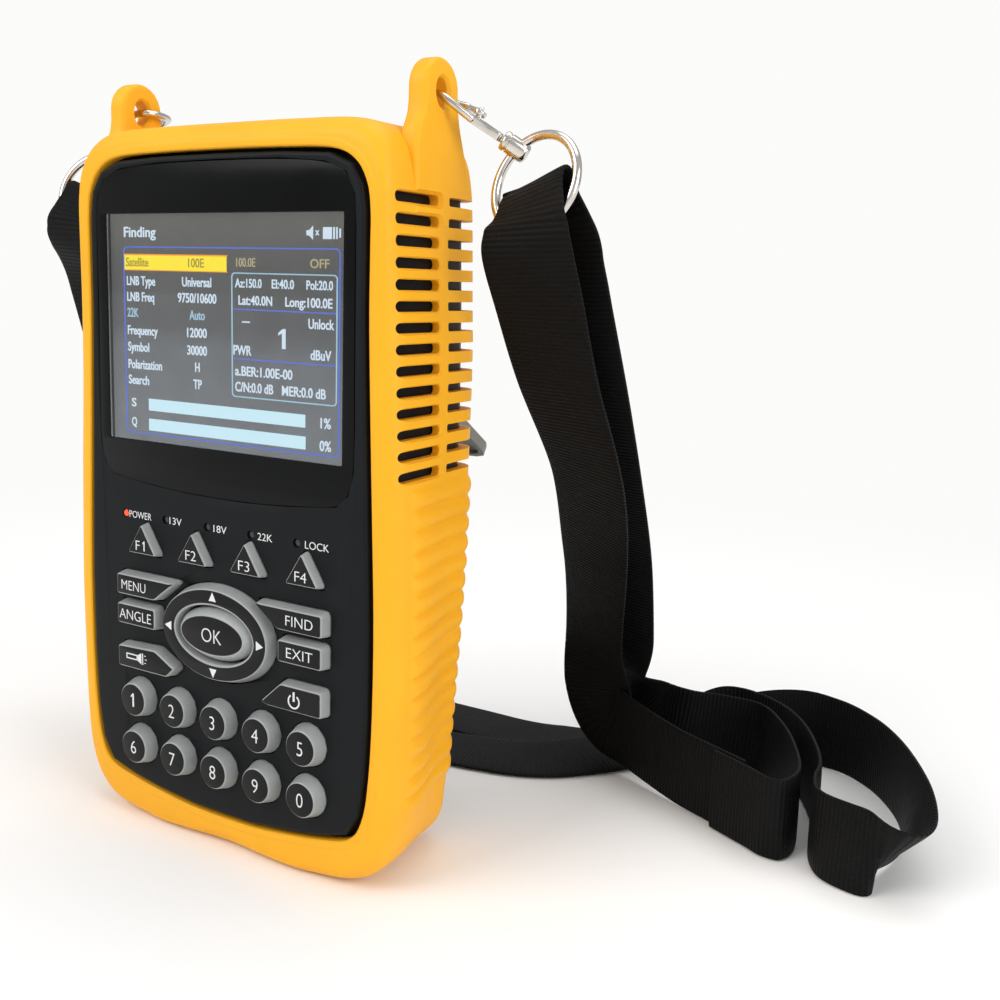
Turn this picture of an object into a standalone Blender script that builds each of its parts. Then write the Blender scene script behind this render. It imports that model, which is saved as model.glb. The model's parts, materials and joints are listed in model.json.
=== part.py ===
"""Handheld satellite signal meter: rubber boot, two-part case, screen, keypad, stand and lanyard.

Metres, with +X to the right and +Z up as seen from the front, and the front towards -Y.
The origin is the middle of the flat foot on which the meter stands. Most pieces hang on an
empty in the plane of the panel's face, so that their Y is a depth behind that face.
"""
import math

import bmesh
import bpy
import numpy as np
from mathutils import Matrix

# Body
body_half_width = 0.0494
body_height = 0.1685
body_depth = 0.0365
piece_gap = 0.0003
overrun = 0.002
weld = 0.00001
sharp_angle = math.radians(50)

# Rubber boot
boot_wall = 0.0022
boot_front_round = 0.0052
boot_back_round = 0.0065
lip_setback = 0.0008
lip_width = 0.0019
lip_height = 0.0006
lip_gap = 0.0009
window_half_width = 0.0345
window_bottom = 0.012
window_top = 0.152
window_round = 0.007

# Carrying ears
ear_outer_x = 0.0467
ear_thickness = 0.005
ear_half_width = 0.0064
ear_narrowing = 0.0012
ear_top = 0.1812
ear_bottom = 0.148
ear_depth = 0.0183
ear_hole_z = 0.1742
ear_hole_radius = 0.0023
ear_hole_rise = 0.0007
ear_edge = 0.0008

# Vent slots in the boot
vent_count = 14
vent_top_z = 0.152
vent_pitch = 0.00443
vent_half_height = 0.0011
vent_front = 0.0027
vent_length = 0.0160
vent_flare = 0.0002
corner_vent_front = 0.0215
corner_vent_half_height = 0.00095
corner_vent_reach = 0.0105

# Grip ridges on the boot
ridge_count = 16
ridge_top_z = 0.0893
ridge_pitch = 0.0046
ridge_half_width = 0.0014
ridge_crest = 0.0005
ridge_crest_start = 0.0001
ridge_height = 0.0009
ridge_root = 0.0004
ridge_front = 0.0066
ridge_taper = 0.0018

# Case
panel_half_width = 0.0425
panel_bottom = 0.0088
panel_top = 0.1614
panel_edge = 0.0008
plateau_sunk = 0.0002
face_plate = 0.002
case_wall = 0.0018
parting = 0.019

# Screen
lens_half_width = 0.0382
lens_bottom = 0.0852
lens_top = 0.1598
lens_thickness = 0.0010
screen_z = 0.1224
active_width = 0.07008
active_height = 0.05256
module_border = 0.0026
module_thickness = 0.0033
display_recess = 0.0003
window_margin = 0.0006

# Keys
key_clearance = 0.00035
key_flare = 0.00045
digit_flare = 0.0009
key_edge = 0.0003
key_foot = 0.003
key_corner = 0.0008
digit_radius = 0.0041
digit_height = 0.003
digit_pitch = 0.0131
digit_row_z = 0.0325
digit_row_pitch = 0.01205
digit_centre_x = 0.0003
function_first_x = -0.0231
function_pitch = 0.0163
function_z = 0.0691
function_width = 0.0092
function_rise = 0.0072
function_height = 0.002
side_key_height = 0.0025
side_key_size = 0.005
side_key_left = -0.0311
side_key_right = 0.0319
upper_key_z = 0.0610
upper_key_length = 0.0190
middle_key_z = 0.0537
angle_key_length = 0.0126
exit_key_length = 0.0123
lower_key_z = 0.0432
torch_key_length = 0.0188
power_key_length = 0.0172
lower_key_size = 0.0058
pad_x = 0.0003
pad_z = 0.0535
pad_half_width = 0.0169
pad_half_height = 0.0116
pad_height = 0.0025
pad_hole_half_width = 0.0119
pad_hole_half_height = 0.0069
pad_foot = 0.0022
ok_half_width = 0.0095
ok_half_height = 0.0045
ok_flare = 0.0017
ok_height = 0.003
gimbal_inset = 0.002
gimbal_drop = 0.0006
gimbal_thickness = 0.0005
mat_thickness = 0.001
mat_margin = 0.0005
board_lap = 0.001
keypad_bottom = 0.0135
keypad_top = 0.0835
board_thickness = 0.0016

# Indicator lights
light_count = 5
light_first_x = -0.0303
light_pitch = 0.0133
light_z = 0.0779
light_radius = 0.0008
light_sunk = 0.0005
light_bar_height = 0.0024
light_bar_thickness = 0.0012

# Boards, battery and loudspeaker
board_y = 0.0179
board_half_width = 0.0340
board_bottom = 0.062
board_top = 0.1495
standoff_x = 0.0308
standoff_edge = 0.004
standoff_radius = 0.0022
tuner_left = -0.0270
tuner_right = -0.0020
tuner_bottom = 0.1240
tuner_top = 0.1466
tuner_clearance = 0.0015
battery_half_width = 0.0295
battery_bottom = 0.0180
battery_top = 0.0530
battery_depth = 0.0172
battery_round = 0.0006
bay_wall = 0.0015
speaker_x = 0.016
speaker_z = 0.138
speaker_radius = 0.0100
speaker_depth = 0.0042
grille_slots = 5
grille_pitch = 0.003
grille_half_height = 0.0007
grille_length = 0.014

# Battery cover
cover_thickness = 0.0013
cover_ledge = 0.0019
cover_tab = 0.0062
cover_round = 0.003
cover_rim = 0.0009
cover_seat_wall = 0.0012
cover_screw_drop = 0.0032
cover_well_depth = 0.0007
cover_grip_count = 3
cover_grip_pitch = 0.0022
cover_grip_half_width = 0.006
cover_grip_height = 0.0005

# Connector deck sunk in the top
deck_half_width = 0.0268
deck_front = 0.0206
deck_back = 0.0318
deck_floor_z = 0.155
deck_round = 0.0015
socket_x = -0.0185
socket_radius = 0.0040
socket_top = 0.1655
socket_bore = 0.0012
socket_flange = 0.0052
nut_radius = 0.0058
nut_height = 0.0021
flange_height = 0.0009
torch_x = -0.0082
torch_radius = 0.0026
power_jack_x = 0.0002
power_jack_radius = 0.0034
power_jack_bore = 0.0026
video_x = 0.0124
video_y = 0.0234
video_width = 0.0144
video_thickness = 0.0040
data_y = 0.0292
data_width = 0.0078
data_thickness = 0.0030
av_jack_x = 0.0232
av_jack_radius = 0.0026
av_jack_bore = 0.00175
port_proud = 0.0012
port_depth = 0.008
port_wall = 0.0006
port_bore_depth = 0.006

# Folding stand
stand_half_width = 0.023
stand_length = 0.057
stand_thickness = 0.0018
stand_flange = 0.0011
stand_flange_width = 0.0016
stand_hinge_z = 0.1195
stand_barrel = 0.0016
stand_pin = 0.0007
stand_pin_seat = 0.0025
stand_round = 0.004
stand_clearance = 0.0008
stand_open_angle = 57
recess_depth = 0.0037
notch_half_width = 0.0075
notch_rise = 0.0055

# Case screws
screw_x = 0.033
screw_top_z = 0.1572
screw_bottom_z = 0.0092
screw_post_wall = 0.0009
screw_head = 0.0019
screw_head_height = 0.0014
screw_shank = 0.0010
screw_length = 0.0075
screw_depth = 0.0050
screw_clearance = 0.0003

# Lanyard: its straps, rings, swivels, hooks and gates
strap_reach = 0.1
strap_width = 0.0206
strap_thickness = 0.0012
strap_squeeze = 0.009
ring_x = 0.066
ring_y = 0.0058
ring_z = 0.1556
ring_radius = 0.0106
ring_wire = 0.001
ring_bore = 0.00135
swivel_radius = 0.0022
swivel_below = 0.0038
swivel_above = 0.0024
swivel_bore = 0.0012
swivel_bore_depth = 0.0017
hook_reach = 0.01
hook_wire = 0.00085
shank_start = 0.009
shank_half_width = 0.0022
shank_slot = 0.0008
shank_slot_start = 0.0030
shank_slot_end = 0.0018
stud_radius = 0.0009
gate_across = 0.0013
gate_along = 0.0103
gate_pin = 0.0005
gate_eye = 0.0015
gate_bore = 0.0008
gate_low = 0.00115
gate_high = 0.00235
gate_wire = 0.00075
swivel_turn = math.radians(132)

# Shares of a size
strap_squeeze_share = 0.19
vent_round_share = 0.9
screw_top_share = 0.8
tongue_share = 0.6

# Outlines of the right-hand half, from the top middle to the bottom middle,
# as shares of a half width and of a height
body_outline_shares = (
    (0, 1), (0.405, 0.9995), (0.688, 0.997), (0.814, 0.987), (0.891, 0.964), (0.925, 0.929),
    (0.939, 0.878), (0.951, 0.772), (0.970, 0.641), (0.992, 0.499), (1, 0.356), (0.996, 0.237),
    (0.982, 0.148), (0.951, 0.080), (0.883, 0.035), (0.759, 0.011), (0.567, 0.001), (0.385, 0),
)
panel_outline_shares = (
    (0, 1), (0.424, 0.999), (0.729, 0.995), (0.865, 0.980), (0.932, 0.951), (0.951, 0.915),
    (0.951, 0.870), (0.951, 0.770), (0.965, 0.640), (0.984, 0.490), (1, 0.350), (0.997, 0.218),
    (0.980, 0.128), (0.945, 0.066), (0.866, 0.031), (0.682, 0.017), (0.480, 0.008), (0.200, 0),
)
lens_outline_shares = (
    (0, 1), (0.47, 0.997), (0.785, 0.984), (0.930, 0.953), (0.984, 0.895), (0.995, 0.815),
    (0.995, 0.574), (1, 0.265), (0.995, 0.131), (0.960, 0.066), (0.877, 0.029), (0.524, 0.009),
    (0.200, 0),
)

# Key outlines as shares of the key's length and height, from its outer end inwards
plain_key_shares = ((0, 0), (0, 1), (1, 1), (1, 0))
pointed_key_shares = ((0, 0), (0, 1), (1, 1), (0.66, 0))
torch_key_shares = ((0, 0), (0, 0.9), (0.66, 1), (1, 0.42), (0.86, 0))
power_key_shares = ((0, 0), (0, 1), (0.67, 1), (1, 0.1), (0.9, 0))

# Routes of the straps, as shares of their reach for the place and as a direction across the
# band, on the ground behind the meter and up to the rings
right_strap_shares = (
    (0.942, 0.586, 0.106, 0.2, -0.1, 1), (1.045, 0.536, 0.106, 0, 0, 1),
    (1.105, 0.504, 0.106, 0.05, -0.05, 1), (1.144, 0.516, 0.106, 0, 0, 1), (1.152, 0.6, 0.106, 0, 0, 1),
    (1.105, 0.73, 0.107, 0, 0, 1), (1.035, 0.86, 0.109, 0, 0, 1), (0.95, 0.955, 0.112, 0, 0, 1),
    (0.85, 0.94, 0.12, 0, 0.05, 1), (0.75, 0.894, 0.131, 0, 0.05, 1),
    (0.65, 0.89, 0.154, 0.25, 0, 0.95), (0.565, 0.865, 0.26, 0.72, -0.5, 0.3),
    (0.575, 0.81, 0.4, 0.93, -0.1, 0), (0.6, 0.7, 0.62, 0.97, -0.08, 0.1),
    (0.65, 0.48, 0.88, 0.97, -0.1, 0.15), (0.686, 0.27, 1.14, 0.95, -0.12, 0.25),
    (0.693, 0.143, 1.34, 0.94, -0.1, 0.31), (0.693, 0.106, 1.42, 0.93, -0.12, 0.33),
    (0.688, 0.086, 1.47, 0.92, -0.14, 0.35), (0.677, 0.08, 1.508, 0.9, -0.14, 0.36),
    (0.666, 0.075, 1.54, 0.9, -0.13, 0.37), (0.662, 0.057, 1.558, 0.9, -0.12, 0.37),
    (0.662, 0.036, 1.54, 0.9, -0.1, 0.37), (0.669, 0.015, 1.505, 0.92, -0.08, 0.36),
    (0.672, -0.001, 1.465, 0.93, -0.04, 0.35), (0.674, 0.006, 1.41, 0.94, -0.06, 0.33),
    (0.674, 0.063, 1.31, 0.94, -0.12, 0.3), (0.665, 0.18, 1.14, 0.9, -0.18, 0.2),
    (0.655, 0.38, 0.89, 0.8, -0.3, 0.15), (0.59, 0.58, 0.64, 0.75, -0.35, 0.2),
    (0.53, 0.73, 0.38, 0.72, -0.3, 0.1), (0.52, 0.785, 0.24, 0.6, -0.15, 0.6),
    (0.55, 0.79, 0.148, 0.3, 0, 0.95), (0.63, 0.752, 0.13, 0, 0, 1), (0.81, 0.664, 0.109, 0, 0, 1),
    (0.94, 0.607, 0.106, 0, 0, 1), (1.03, 0.564, 0.106, 0, 0, 1),
)
left_strap_shares = (
    (-0.14, 0.825, 0.009, 0, 1, 0), (0.1, 0.83, 0.009, 0, 1, -0.02),
    (0.24, 0.827, 0.009, -0.05, 0.98, 0), (0.36, 0.855, 0.009, -0.3, 0.9, 0),
    (0.5, 0.93, 0.0095, -0.4, 0.9, 0.02), (0.72, 1.12, 0.046, -0.35, 0.88, 0.3),
    (0.95, 1.165, 0.091, -0.15, 0.55, 0.82), (1.11, 1.135, 0.105, 0, 0.1, 1),
    (1.22, 1.065, 0.106, 0, 0, 1), (1.305, 0.96, 0.106, 0, 0, 1), (1.37, 0.83, 0.106, 0.1, -0.1, 1),
    (1.41, 0.68, 0.105, 0.35, -0.3, 0.9), (1.415, 0.545, 0.101, 0.6, -0.3, 0.75),
    (1.386, 0.464, 0.105, 0.6, -0.1, 0.75), (1.315, 0.463, 0.105, 0.3, 0, 0.95),
    (1.235, 0.495, 0.106, 0, 0, 1), (1.198, 0.57, 0.106, 0, 0, 1), (1.185, 0.67, 0.106, 0, 0, 1),
    (1.135, 0.8, 0.106, 0, 0, 1), (1.065, 0.925, 0.106, 0, 0, 1), (0.98, 1.015, 0.106, 0, 0, 1),
    (0.86, 1.062, 0.106, 0, 0.1, 1), (0.75, 1.04, 0.082, -0.3, 0.75, 0.6),
    (0.66, 0.976, 0.032, -0.5, 0.84, 0.2), (0.575, 0.86, 0.026, -0.55, 0.83, 0.12),
    (0.5, 0.77, 0.02, -0.5, 0.86, 0.1), (0.39, 0.675, 0.017, -0.3, 0.94, 0.08),
    (0.24, 0.63, 0.014, -0.1, 1, 0.04), (0.04, 0.61, 0.01, 0, 1, 0), (-0.22, 0.6, 0.02, 0.1, 0.98, 0),
    (-0.44, 0.55, 0.1, 0.6, 0.75, 0.1), (-0.58, 0.42, 0.38, 0.85, 0.45, 0),
    (-0.665, 0.21, 0.84, 0.93, 0.25, -0.15), (-0.668, 0.12, 1.14, 0.94, 0.16, -0.25),
    (-0.674, 0.063, 1.31, 0.94, 0.12, -0.3), (-0.674, 0.006, 1.41, 0.94, 0.06, -0.33),
    (-0.672, -0.001, 1.465, 0.93, 0.04, -0.35), (-0.669, 0.015, 1.505, 0.92, 0.08, -0.36),
    (-0.662, 0.036, 1.54, 0.9, 0.1, -0.37), (-0.662, 0.057, 1.558, 0.9, 0.12, -0.37),
    (-0.666, 0.075, 1.54, 0.9, 0.13, -0.37), (-0.677, 0.08, 1.508, 0.9, 0.14, -0.36),
    (-0.688, 0.086, 1.47, 0.92, 0.14, -0.35), (-0.693, 0.106, 1.42, 0.93, 0.12, -0.33),
    (-0.693, 0.143, 1.34, 0.94, 0.1, -0.31), (-0.7, 0.3, 1.04, 0.95, 0.2, -0.2),
    (-0.68, 0.52, 0.62, 0.93, 0.35, -0.1), (-0.6, 0.74, 0.24, 0.85, 0.5, 0),
    (-0.44, 0.815, 0.07, 0.6, 0.8, 0), (-0.24, 0.83, 0.032, 0.2, 0.98, 0),
    (-0.06, 0.825, 0.028, 0, 1, 0), (0.04, 0.825, 0.028, 0, 1, 0),
)

# Directions of the ring's axis and of the hook's width, and places along the hook's bow and
# its gate as shares of the hook's reach
ring_axis_shares = (-0.201, -0.938, 0.284)
hook_across_shares = (-0.475, 0.863, 0.174)
hook_bow_shares = (
    (-0.17, 0, 0.95), (-0.196, 0.04, 0.457), (-0.116, 0.05, 0.21), (0.013, 0, 0), (0.203, -0.153, -0.204),
    (0.508, -0.187, -0.14), (0.772, -0.125, 0.094), (0.817, 0, 0.39), (0.62, 0.11, 0.71),
)
gate_rod_shares = ((0.097, 0.161, -0.06), (0.42, 0.115, -0.26))

# Places that several pieces share
case_front = lip_setback + boot_wall + piece_gap
case_back = body_depth - boot_wall - piece_gap
case_back_round = boot_back_round - boot_wall - piece_gap
ledge = case_front + case_wall
plateau = body_depth - plateau_sunk
rear_front = parting + piece_gap
inner_back = plateau - case_wall
cover_front = plateau - cover_thickness
battery_back = cover_front - piece_gap
deck_middle = (deck_front + deck_back) / 2
hinge_depth = plateau - stand_barrel
stand_pin_reach = stand_half_width + stand_clearance + stand_pin_seat
stand_recess = (-stand_half_width - stand_clearance, stand_half_width + stand_clearance,
                stand_hinge_z - stand_length - stand_clearance, stand_hinge_z + stand_barrel + stand_clearance)
battery_bay = (-battery_half_width - piece_gap, battery_half_width + piece_gap,
               battery_bottom - piece_gap, battery_top + piece_gap)
cover_seat = (battery_bay[0] - cover_ledge, battery_bay[1] + cover_ledge,
              battery_bay[2] - cover_ledge, battery_bay[3] + cover_tab)
cover_screw_z = cover_seat[3] - cover_screw_drop
light_x = [light_first_x + step * light_pitch for step in range(light_count)]
screw_places = [(side * screw_x, z) for z in (screw_top_z, screw_bottom_z) for side in (1, -1)]
key_holes = []

# Scene
for old in list(bpy.data.objects):
    bpy.data.objects.remove(old, do_unlink=True)
for old in list(bpy.data.collections):
    bpy.data.collections.remove(old)
parts = bpy.data.collections.new("signal_meter")
cutters = bpy.data.collections.new("cutters")
for group in (parts, cutters):
    bpy.context.scene.collection.children.link(group)
face_frame = bpy.data.objects.new("face_frame", None)
face_frame.location = (0, -body_depth / 2, 0)
parts.objects.link(face_frame)
ground_frame = bpy.data.objects.new("ground_frame", None)
parts.objects.link(ground_frame)


def material(name, colour, roughness, metallic=0.0):
    """Principled material with one colour."""
    made = bpy.data.materials.new(name)
    made.use_nodes = True
    shader = made.node_tree.nodes["Principled BSDF"]
    shader.inputs["Base Color"].default_value = (*colour, 1)
    shader.inputs["Roughness"].default_value = roughness
    shader.inputs["Metallic"].default_value = metallic
    made.diffuse_color = (*colour, 1)
    return made


yellow_rubber = material("yellow_rubber", (0.93, 0.45, 0.03), 0.55)
black_case = material("black_case", (0.012, 0.013, 0.015), 0.45)
grey_case = material("grey_case", (0.10, 0.10, 0.10), 0.5)
clear_lens = material("clear_lens", (0.02, 0.02, 0.025), 0.08)
screen_glass = material("screen_glass", (0.10, 0.12, 0.10), 0.2)
key_plastic = material("key_plastic", (0.23, 0.24, 0.24), 0.4)
soft_mat = material("soft_mat", (0.30, 0.31, 0.31), 0.7)
board_green = material("board_green", (0.01, 0.10, 0.04), 0.5)
light_pipe = material("light_pipe", (0.6, 0.6, 0.6), 0.15)
bright_steel = material("bright_steel", (0.78, 0.78, 0.76), 0.22, 1.0)
nickel = material("nickel", (0.66, 0.64, 0.60), 0.25, 1.0)
battery_wrap = material("battery_wrap", (0.05, 0.12, 0.30), 0.5)
webbing = material("webbing", (0.008, 0.008, 0.009), 0.85)


# Outlines
def spline(before, here, after, beyond, steps):
    """Catmull-Rom samples of every span between here and after."""
    rows = []
    for share in np.arange(steps) / steps:
        rows.append(0.5 * (2 * here + (after - before) * share
                           + (2 * before - 5 * here + 4 * after - beyond) * share ** 2
                           + (3 * here - before - 3 * after + beyond) * share ** 3))
    return np.stack(rows, 1).reshape(-1, here.shape[1])


def smooth_loop(points, steps=1):
    """Closed smooth curve through the points, with steps samples to each span."""
    here = np.asarray(points, dtype=float)
    return spline(np.roll(here, 1, 0), here, np.roll(here, -1, 0), np.roll(here, -2, 0), steps)


def smooth_path(points, steps=2):
    """Open smooth curve through the points, with steps samples to each span."""
    rows = np.asarray(points, dtype=float)
    rows = np.vstack([2 * rows[0] - rows[1], rows, 2 * rows[-1] - rows[-2]])
    return np.vstack([spline(rows[:-3], rows[1:-2], rows[2:-1], rows[3:], steps), rows[-2:-1]])


def unit(rows):
    """Directions of length one."""
    rows = np.asarray(rows, dtype=float)
    return rows / np.linalg.norm(rows, axis=-1, keepdims=True)


def half_table(shares, half_width, bottom, top, steps=1):
    """Closed outline from a table for its right-hand half."""
    half = np.array(shares, dtype=float) * (half_width, top - bottom) + (0, bottom)
    mirrored = half[::-1] * (-1, 1)
    loop = smooth_loop(np.vstack([half, mirrored[mirrored[:, 0] < 0]]), steps)
    loop[:, 1] = np.clip(loop[:, 1], bottom, top)
    return loop


def inset(outline, distance):
    """Outline drawn in by a distance, or grown by a negative one; it runs clockwise."""
    before = outline - np.roll(outline, 1, 0)
    after = np.roll(before, -1, 0)
    before = before / np.linalg.norm(before, axis=1)[:, None]
    after = after / np.linalg.norm(after, axis=1)[:, None]
    inward = np.stack([before[:, 1] + after[:, 1], -before[:, 0] - after[:, 0]], 1)
    spread = 1 + np.sum(before * after, axis=1)
    return outline + distance * inward / spread[:, None]


def clipped(outline, bottom, top):
    """Outline cut straight at two heights."""
    inside = (outline[:, 1] > bottom) & (outline[:, 1] < top)
    held = outline[inside | np.roll(inside, 1) | np.roll(inside, -1)]
    held[:, 1] = np.clip(held[:, 1], bottom, top)
    return held


def grown(bounds, margin):
    """Left, right, bottom and top of a rectangle that is larger all round."""
    return bounds[0] - margin, bounds[1] + margin, bounds[2] - margin, bounds[3] + margin


def arc(centre, radius, start, end, steps):
    """Points on an arc, with angles in degrees from the first axis towards the second."""
    turn = np.radians(np.linspace(start, end, steps + 1))
    return np.stack([centre[0] + radius * np.cos(turn), centre[1] + radius * np.sin(turn)], 1)


def rounded_box(left, right, bottom, top, radius, steps=2):
    """Rectangle with round corners, clockwise from its upper left."""
    corners = (((left + radius, top - radius), 180), ((right - radius, top - radius), 90),
               ((right - radius, bottom + radius), 0), ((left + radius, bottom + radius), -90))
    return np.vstack([arc(centre, radius, start, start - 90, steps) for centre, start in corners])


def ellipse(centre, half_width, half_height, steps):
    """Ellipse as a clockwise outline."""
    turn = np.linspace(math.tau, 0, steps, endpoint=False)
    return np.stack([centre[0] + half_width * np.cos(turn), centre[1] + half_height * np.sin(turn)], 1)


def soften(outline, radius, steps=2):
    """Polygon with each corner replaced by a short curve."""
    corners = np.asarray(outline, dtype=float)
    rows = []
    for before, here, after in zip(np.roll(corners, 1, 0), corners, np.roll(corners, -1, 0)):
        start = here + (before - here) / np.linalg.norm(before - here) * radius
        end = here + (after - here) / np.linalg.norm(after - here) * radius
        for share in np.linspace(0, 1, steps + 1):
            rows.append((1 - share) ** 2 * start + 2 * share * (1 - share) * here + share ** 2 * end)
    return np.array(rows)


def half_width_at(height):
    """Half width of the body at a height above the foot."""
    right = body_outline[body_outline[:, 0] > 0]
    order = np.argsort(right[:, 1])
    return float(np.interp(height, right[order, 1], right[order, 0]))


def port_outline(x, depth, width, thickness):
    """Outline of a flat socket in the deck."""
    return rounded_box(x - width / 2, x + width / 2, depth - thickness / 2, depth + thickness / 2,
                       thickness / 8, 1)


# Solids
def make_object(name, mesh, finish=None, placed=(0, 0, 0), carrier=None):
    """Object for a mesh, kept as a part if it has a finish and as a cutter if it has none."""
    made = bpy.data.objects.new(name, mesh)
    made.location = placed
    made.parent = carrier or face_frame
    if finish is None:
        cutters.objects.link(made)
        made.hide_render = True
        made.display_type = "WIRE"
    else:
        parts.objects.link(made)
        mesh.materials.clear()
        mesh.materials.append(finish)
    return made


def outward(mesh):
    """Turn every face of a closed mesh outwards."""
    work = bmesh.new()
    work.from_mesh(mesh)
    bmesh.ops.remove_doubles(work, verts=work.verts, dist=weld)
    bmesh.ops.recalc_face_normals(work, faces=work.faces)
    work.to_mesh(mesh)
    work.free()


def loft(name, rings, finish=None, **where):
    """Closed solid through rings of points that match one to one."""
    count = len(rings[0])
    last = (len(rings) - 1) * count
    faces = [tuple(range(count)), tuple(range(last, last + count))]
    for low in range(0, last, count):
        for here in range(count):
            there = (here + 1) % count
            faces.append((low + here, low + count + here, low + count + there, low + there))
    mesh = bpy.data.meshes.new(name)
    mesh.from_pydata(np.vstack(rings).tolist(), [], faces)
    outward(mesh)
    return make_object(name, mesh, finish, **where)


def at_depth(outline, depth):
    """Ring behind the panel's face from an outline in x and z."""
    return np.stack([outline[:, 0], np.full(len(outline), depth), outline[:, 1]], 1)


def at_side(outline, x):
    """Ring across the part from an outline in depth and z."""
    return np.stack([np.full(len(outline), x), outline[:, 0], outline[:, 1]], 1)


def slab(name, outline, front, back, front_round=0.0, back_round=0.0, finish=None, steps=2, **where):
    """Solid between two depths whose front and back edges are rounded."""
    turns = np.linspace(0, math.pi / 2, steps + 1)
    rings = []
    for turn in turns if front_round else turns[-1:]:
        depth = front + front_round * (1 - math.cos(turn))
        rings.append(at_depth(inset(outline, front_round * (1 - math.sin(turn))), depth))
    for turn in turns if back_round else turns[:1]:
        depth = back - back_round * (1 - math.sin(turn))
        rings.append(at_depth(inset(outline, back_round * (1 - math.cos(turn))), depth))
    return loft(name, rings, finish, **where)


def evaluated_mesh(holder):
    """Mesh of an object as its modifiers leave it."""
    return bpy.data.meshes.new_from_object(holder.evaluated_get(bpy.context.evaluated_depsgraph_get()))


def flat(name, outlines, low, high, finish=None, faces_to="front", edge=0.0, **where):
    """Flat solid with holes, from low to high along the axis that it faces."""
    curve = bpy.data.curves.new(name, "CURVE")
    curve.dimensions = "2D"
    curve.fill_mode = "BOTH"
    curve.extrude = (high - low) / 2
    for outline in outlines:
        spline = curve.splines.new("POLY")
        spline.points.add(len(outline) - 1)
        rows = np.column_stack([outline, np.zeros(len(outline)), np.ones(len(outline))])
        spline.points.foreach_set("co", rows.ravel())
        spline.use_cyclic_u = True
    holder = bpy.data.objects.new(name, curve)
    cutters.objects.link(holder)
    mesh = evaluated_mesh(holder)
    bpy.data.objects.remove(holder)
    middle = (low + high) / 2
    turn, shift = {
        "front": (Matrix.Rotation(math.pi / 2, 4, "X"), (0, middle, 0)),
        "side": (Matrix.Rotation(math.pi / 2, 4, "Z") @ Matrix.Rotation(math.pi / 2, 4, "X"), (middle, 0, 0)),
        "up": (Matrix.Identity(4), (0, 0, middle)),
    }[faces_to]
    mesh.transform(Matrix.Translation(shift) @ turn)
    outward(mesh)
    made = make_object(name, mesh, finish, **where)
    if edge:
        bevel = made.modifiers.new("edge", "BEVEL")
        bevel.width = edge
        bevel.segments = 1
        bevel.limit_method = "ANGLE"
        bevel.angle_limit = sharp_angle
    return made


def turned(name, profile, finish=None, steps=12, **where):
    """Solid of revolution about its own Z axis from radii and heights that run down its outer side."""
    mesh = bpy.data.meshes.new(name)
    points = [(radius, 0, height) for radius, height in profile]
    mesh.from_pydata(points, [(here, here + 1) for here in range(len(points) - 1)], [])
    made = make_object(name, mesh, finish, **where)
    screw = made.modifiers.new("turn", "SCREW")
    screw.steps = screw.render_steps = steps
    screw.use_merge_vertices = True
    screw.merge_threshold = weld
    return made


def combine(target, tool, operation="DIFFERENCE"):
    """Cut a tool from a target, or join it on."""
    step = target.modifiers.new(tool.name, "BOOLEAN")
    step.operation = operation
    step.solver = "EXACT"
    step.object = tool


def grouped(name, tools):
    """One cutter made of several that don't touch."""
    bpy.context.view_layer.update()
    work = bmesh.new()
    for tool in tools:
        mesh = evaluated_mesh(tool)
        mesh.transform(face_frame.matrix_world.inverted() @ tool.matrix_world)
        work.from_mesh(mesh)
        bpy.data.objects.remove(tool)
    mesh = bpy.data.meshes.new(name)
    work.to_mesh(mesh)
    work.free()
    return make_object(name, mesh)


def bake(target):
    """Replace an object's modifiers by the mesh that they make."""
    mesh = evaluated_mesh(target)
    target.modifiers.clear()
    target.data = mesh


# Outlines that several pieces share
body_outline = half_table(body_outline_shares, body_half_width, 0, body_height)
panel_outline = half_table(panel_outline_shares, panel_half_width, panel_bottom, panel_top)
lens_outline = half_table(lens_outline_shares, lens_half_width, lens_bottom, lens_top)
window_outline = rounded_box(-window_half_width, window_half_width, window_bottom, window_top, window_round)
screen_outline = rounded_box(-active_width / 2, active_width / 2, screen_z - active_height / 2,
                             screen_z + active_height / 2, display_recess, 1)
case_outline = inset(body_outline, boot_wall + piece_gap)
deck_outlines = [ellipse((socket_x, deck_middle), socket_radius, socket_radius, 20),
                 ellipse((torch_x, deck_middle), torch_radius, torch_radius, 16),
                 ellipse((power_jack_x, deck_middle), power_jack_radius, power_jack_radius, 20),
                 ellipse((av_jack_x, deck_middle), av_jack_radius, av_jack_radius, 20),
                 port_outline(video_x, video_y, video_width, video_thickness),
                 port_outline(video_x, data_y, data_width, data_thickness)]


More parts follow.
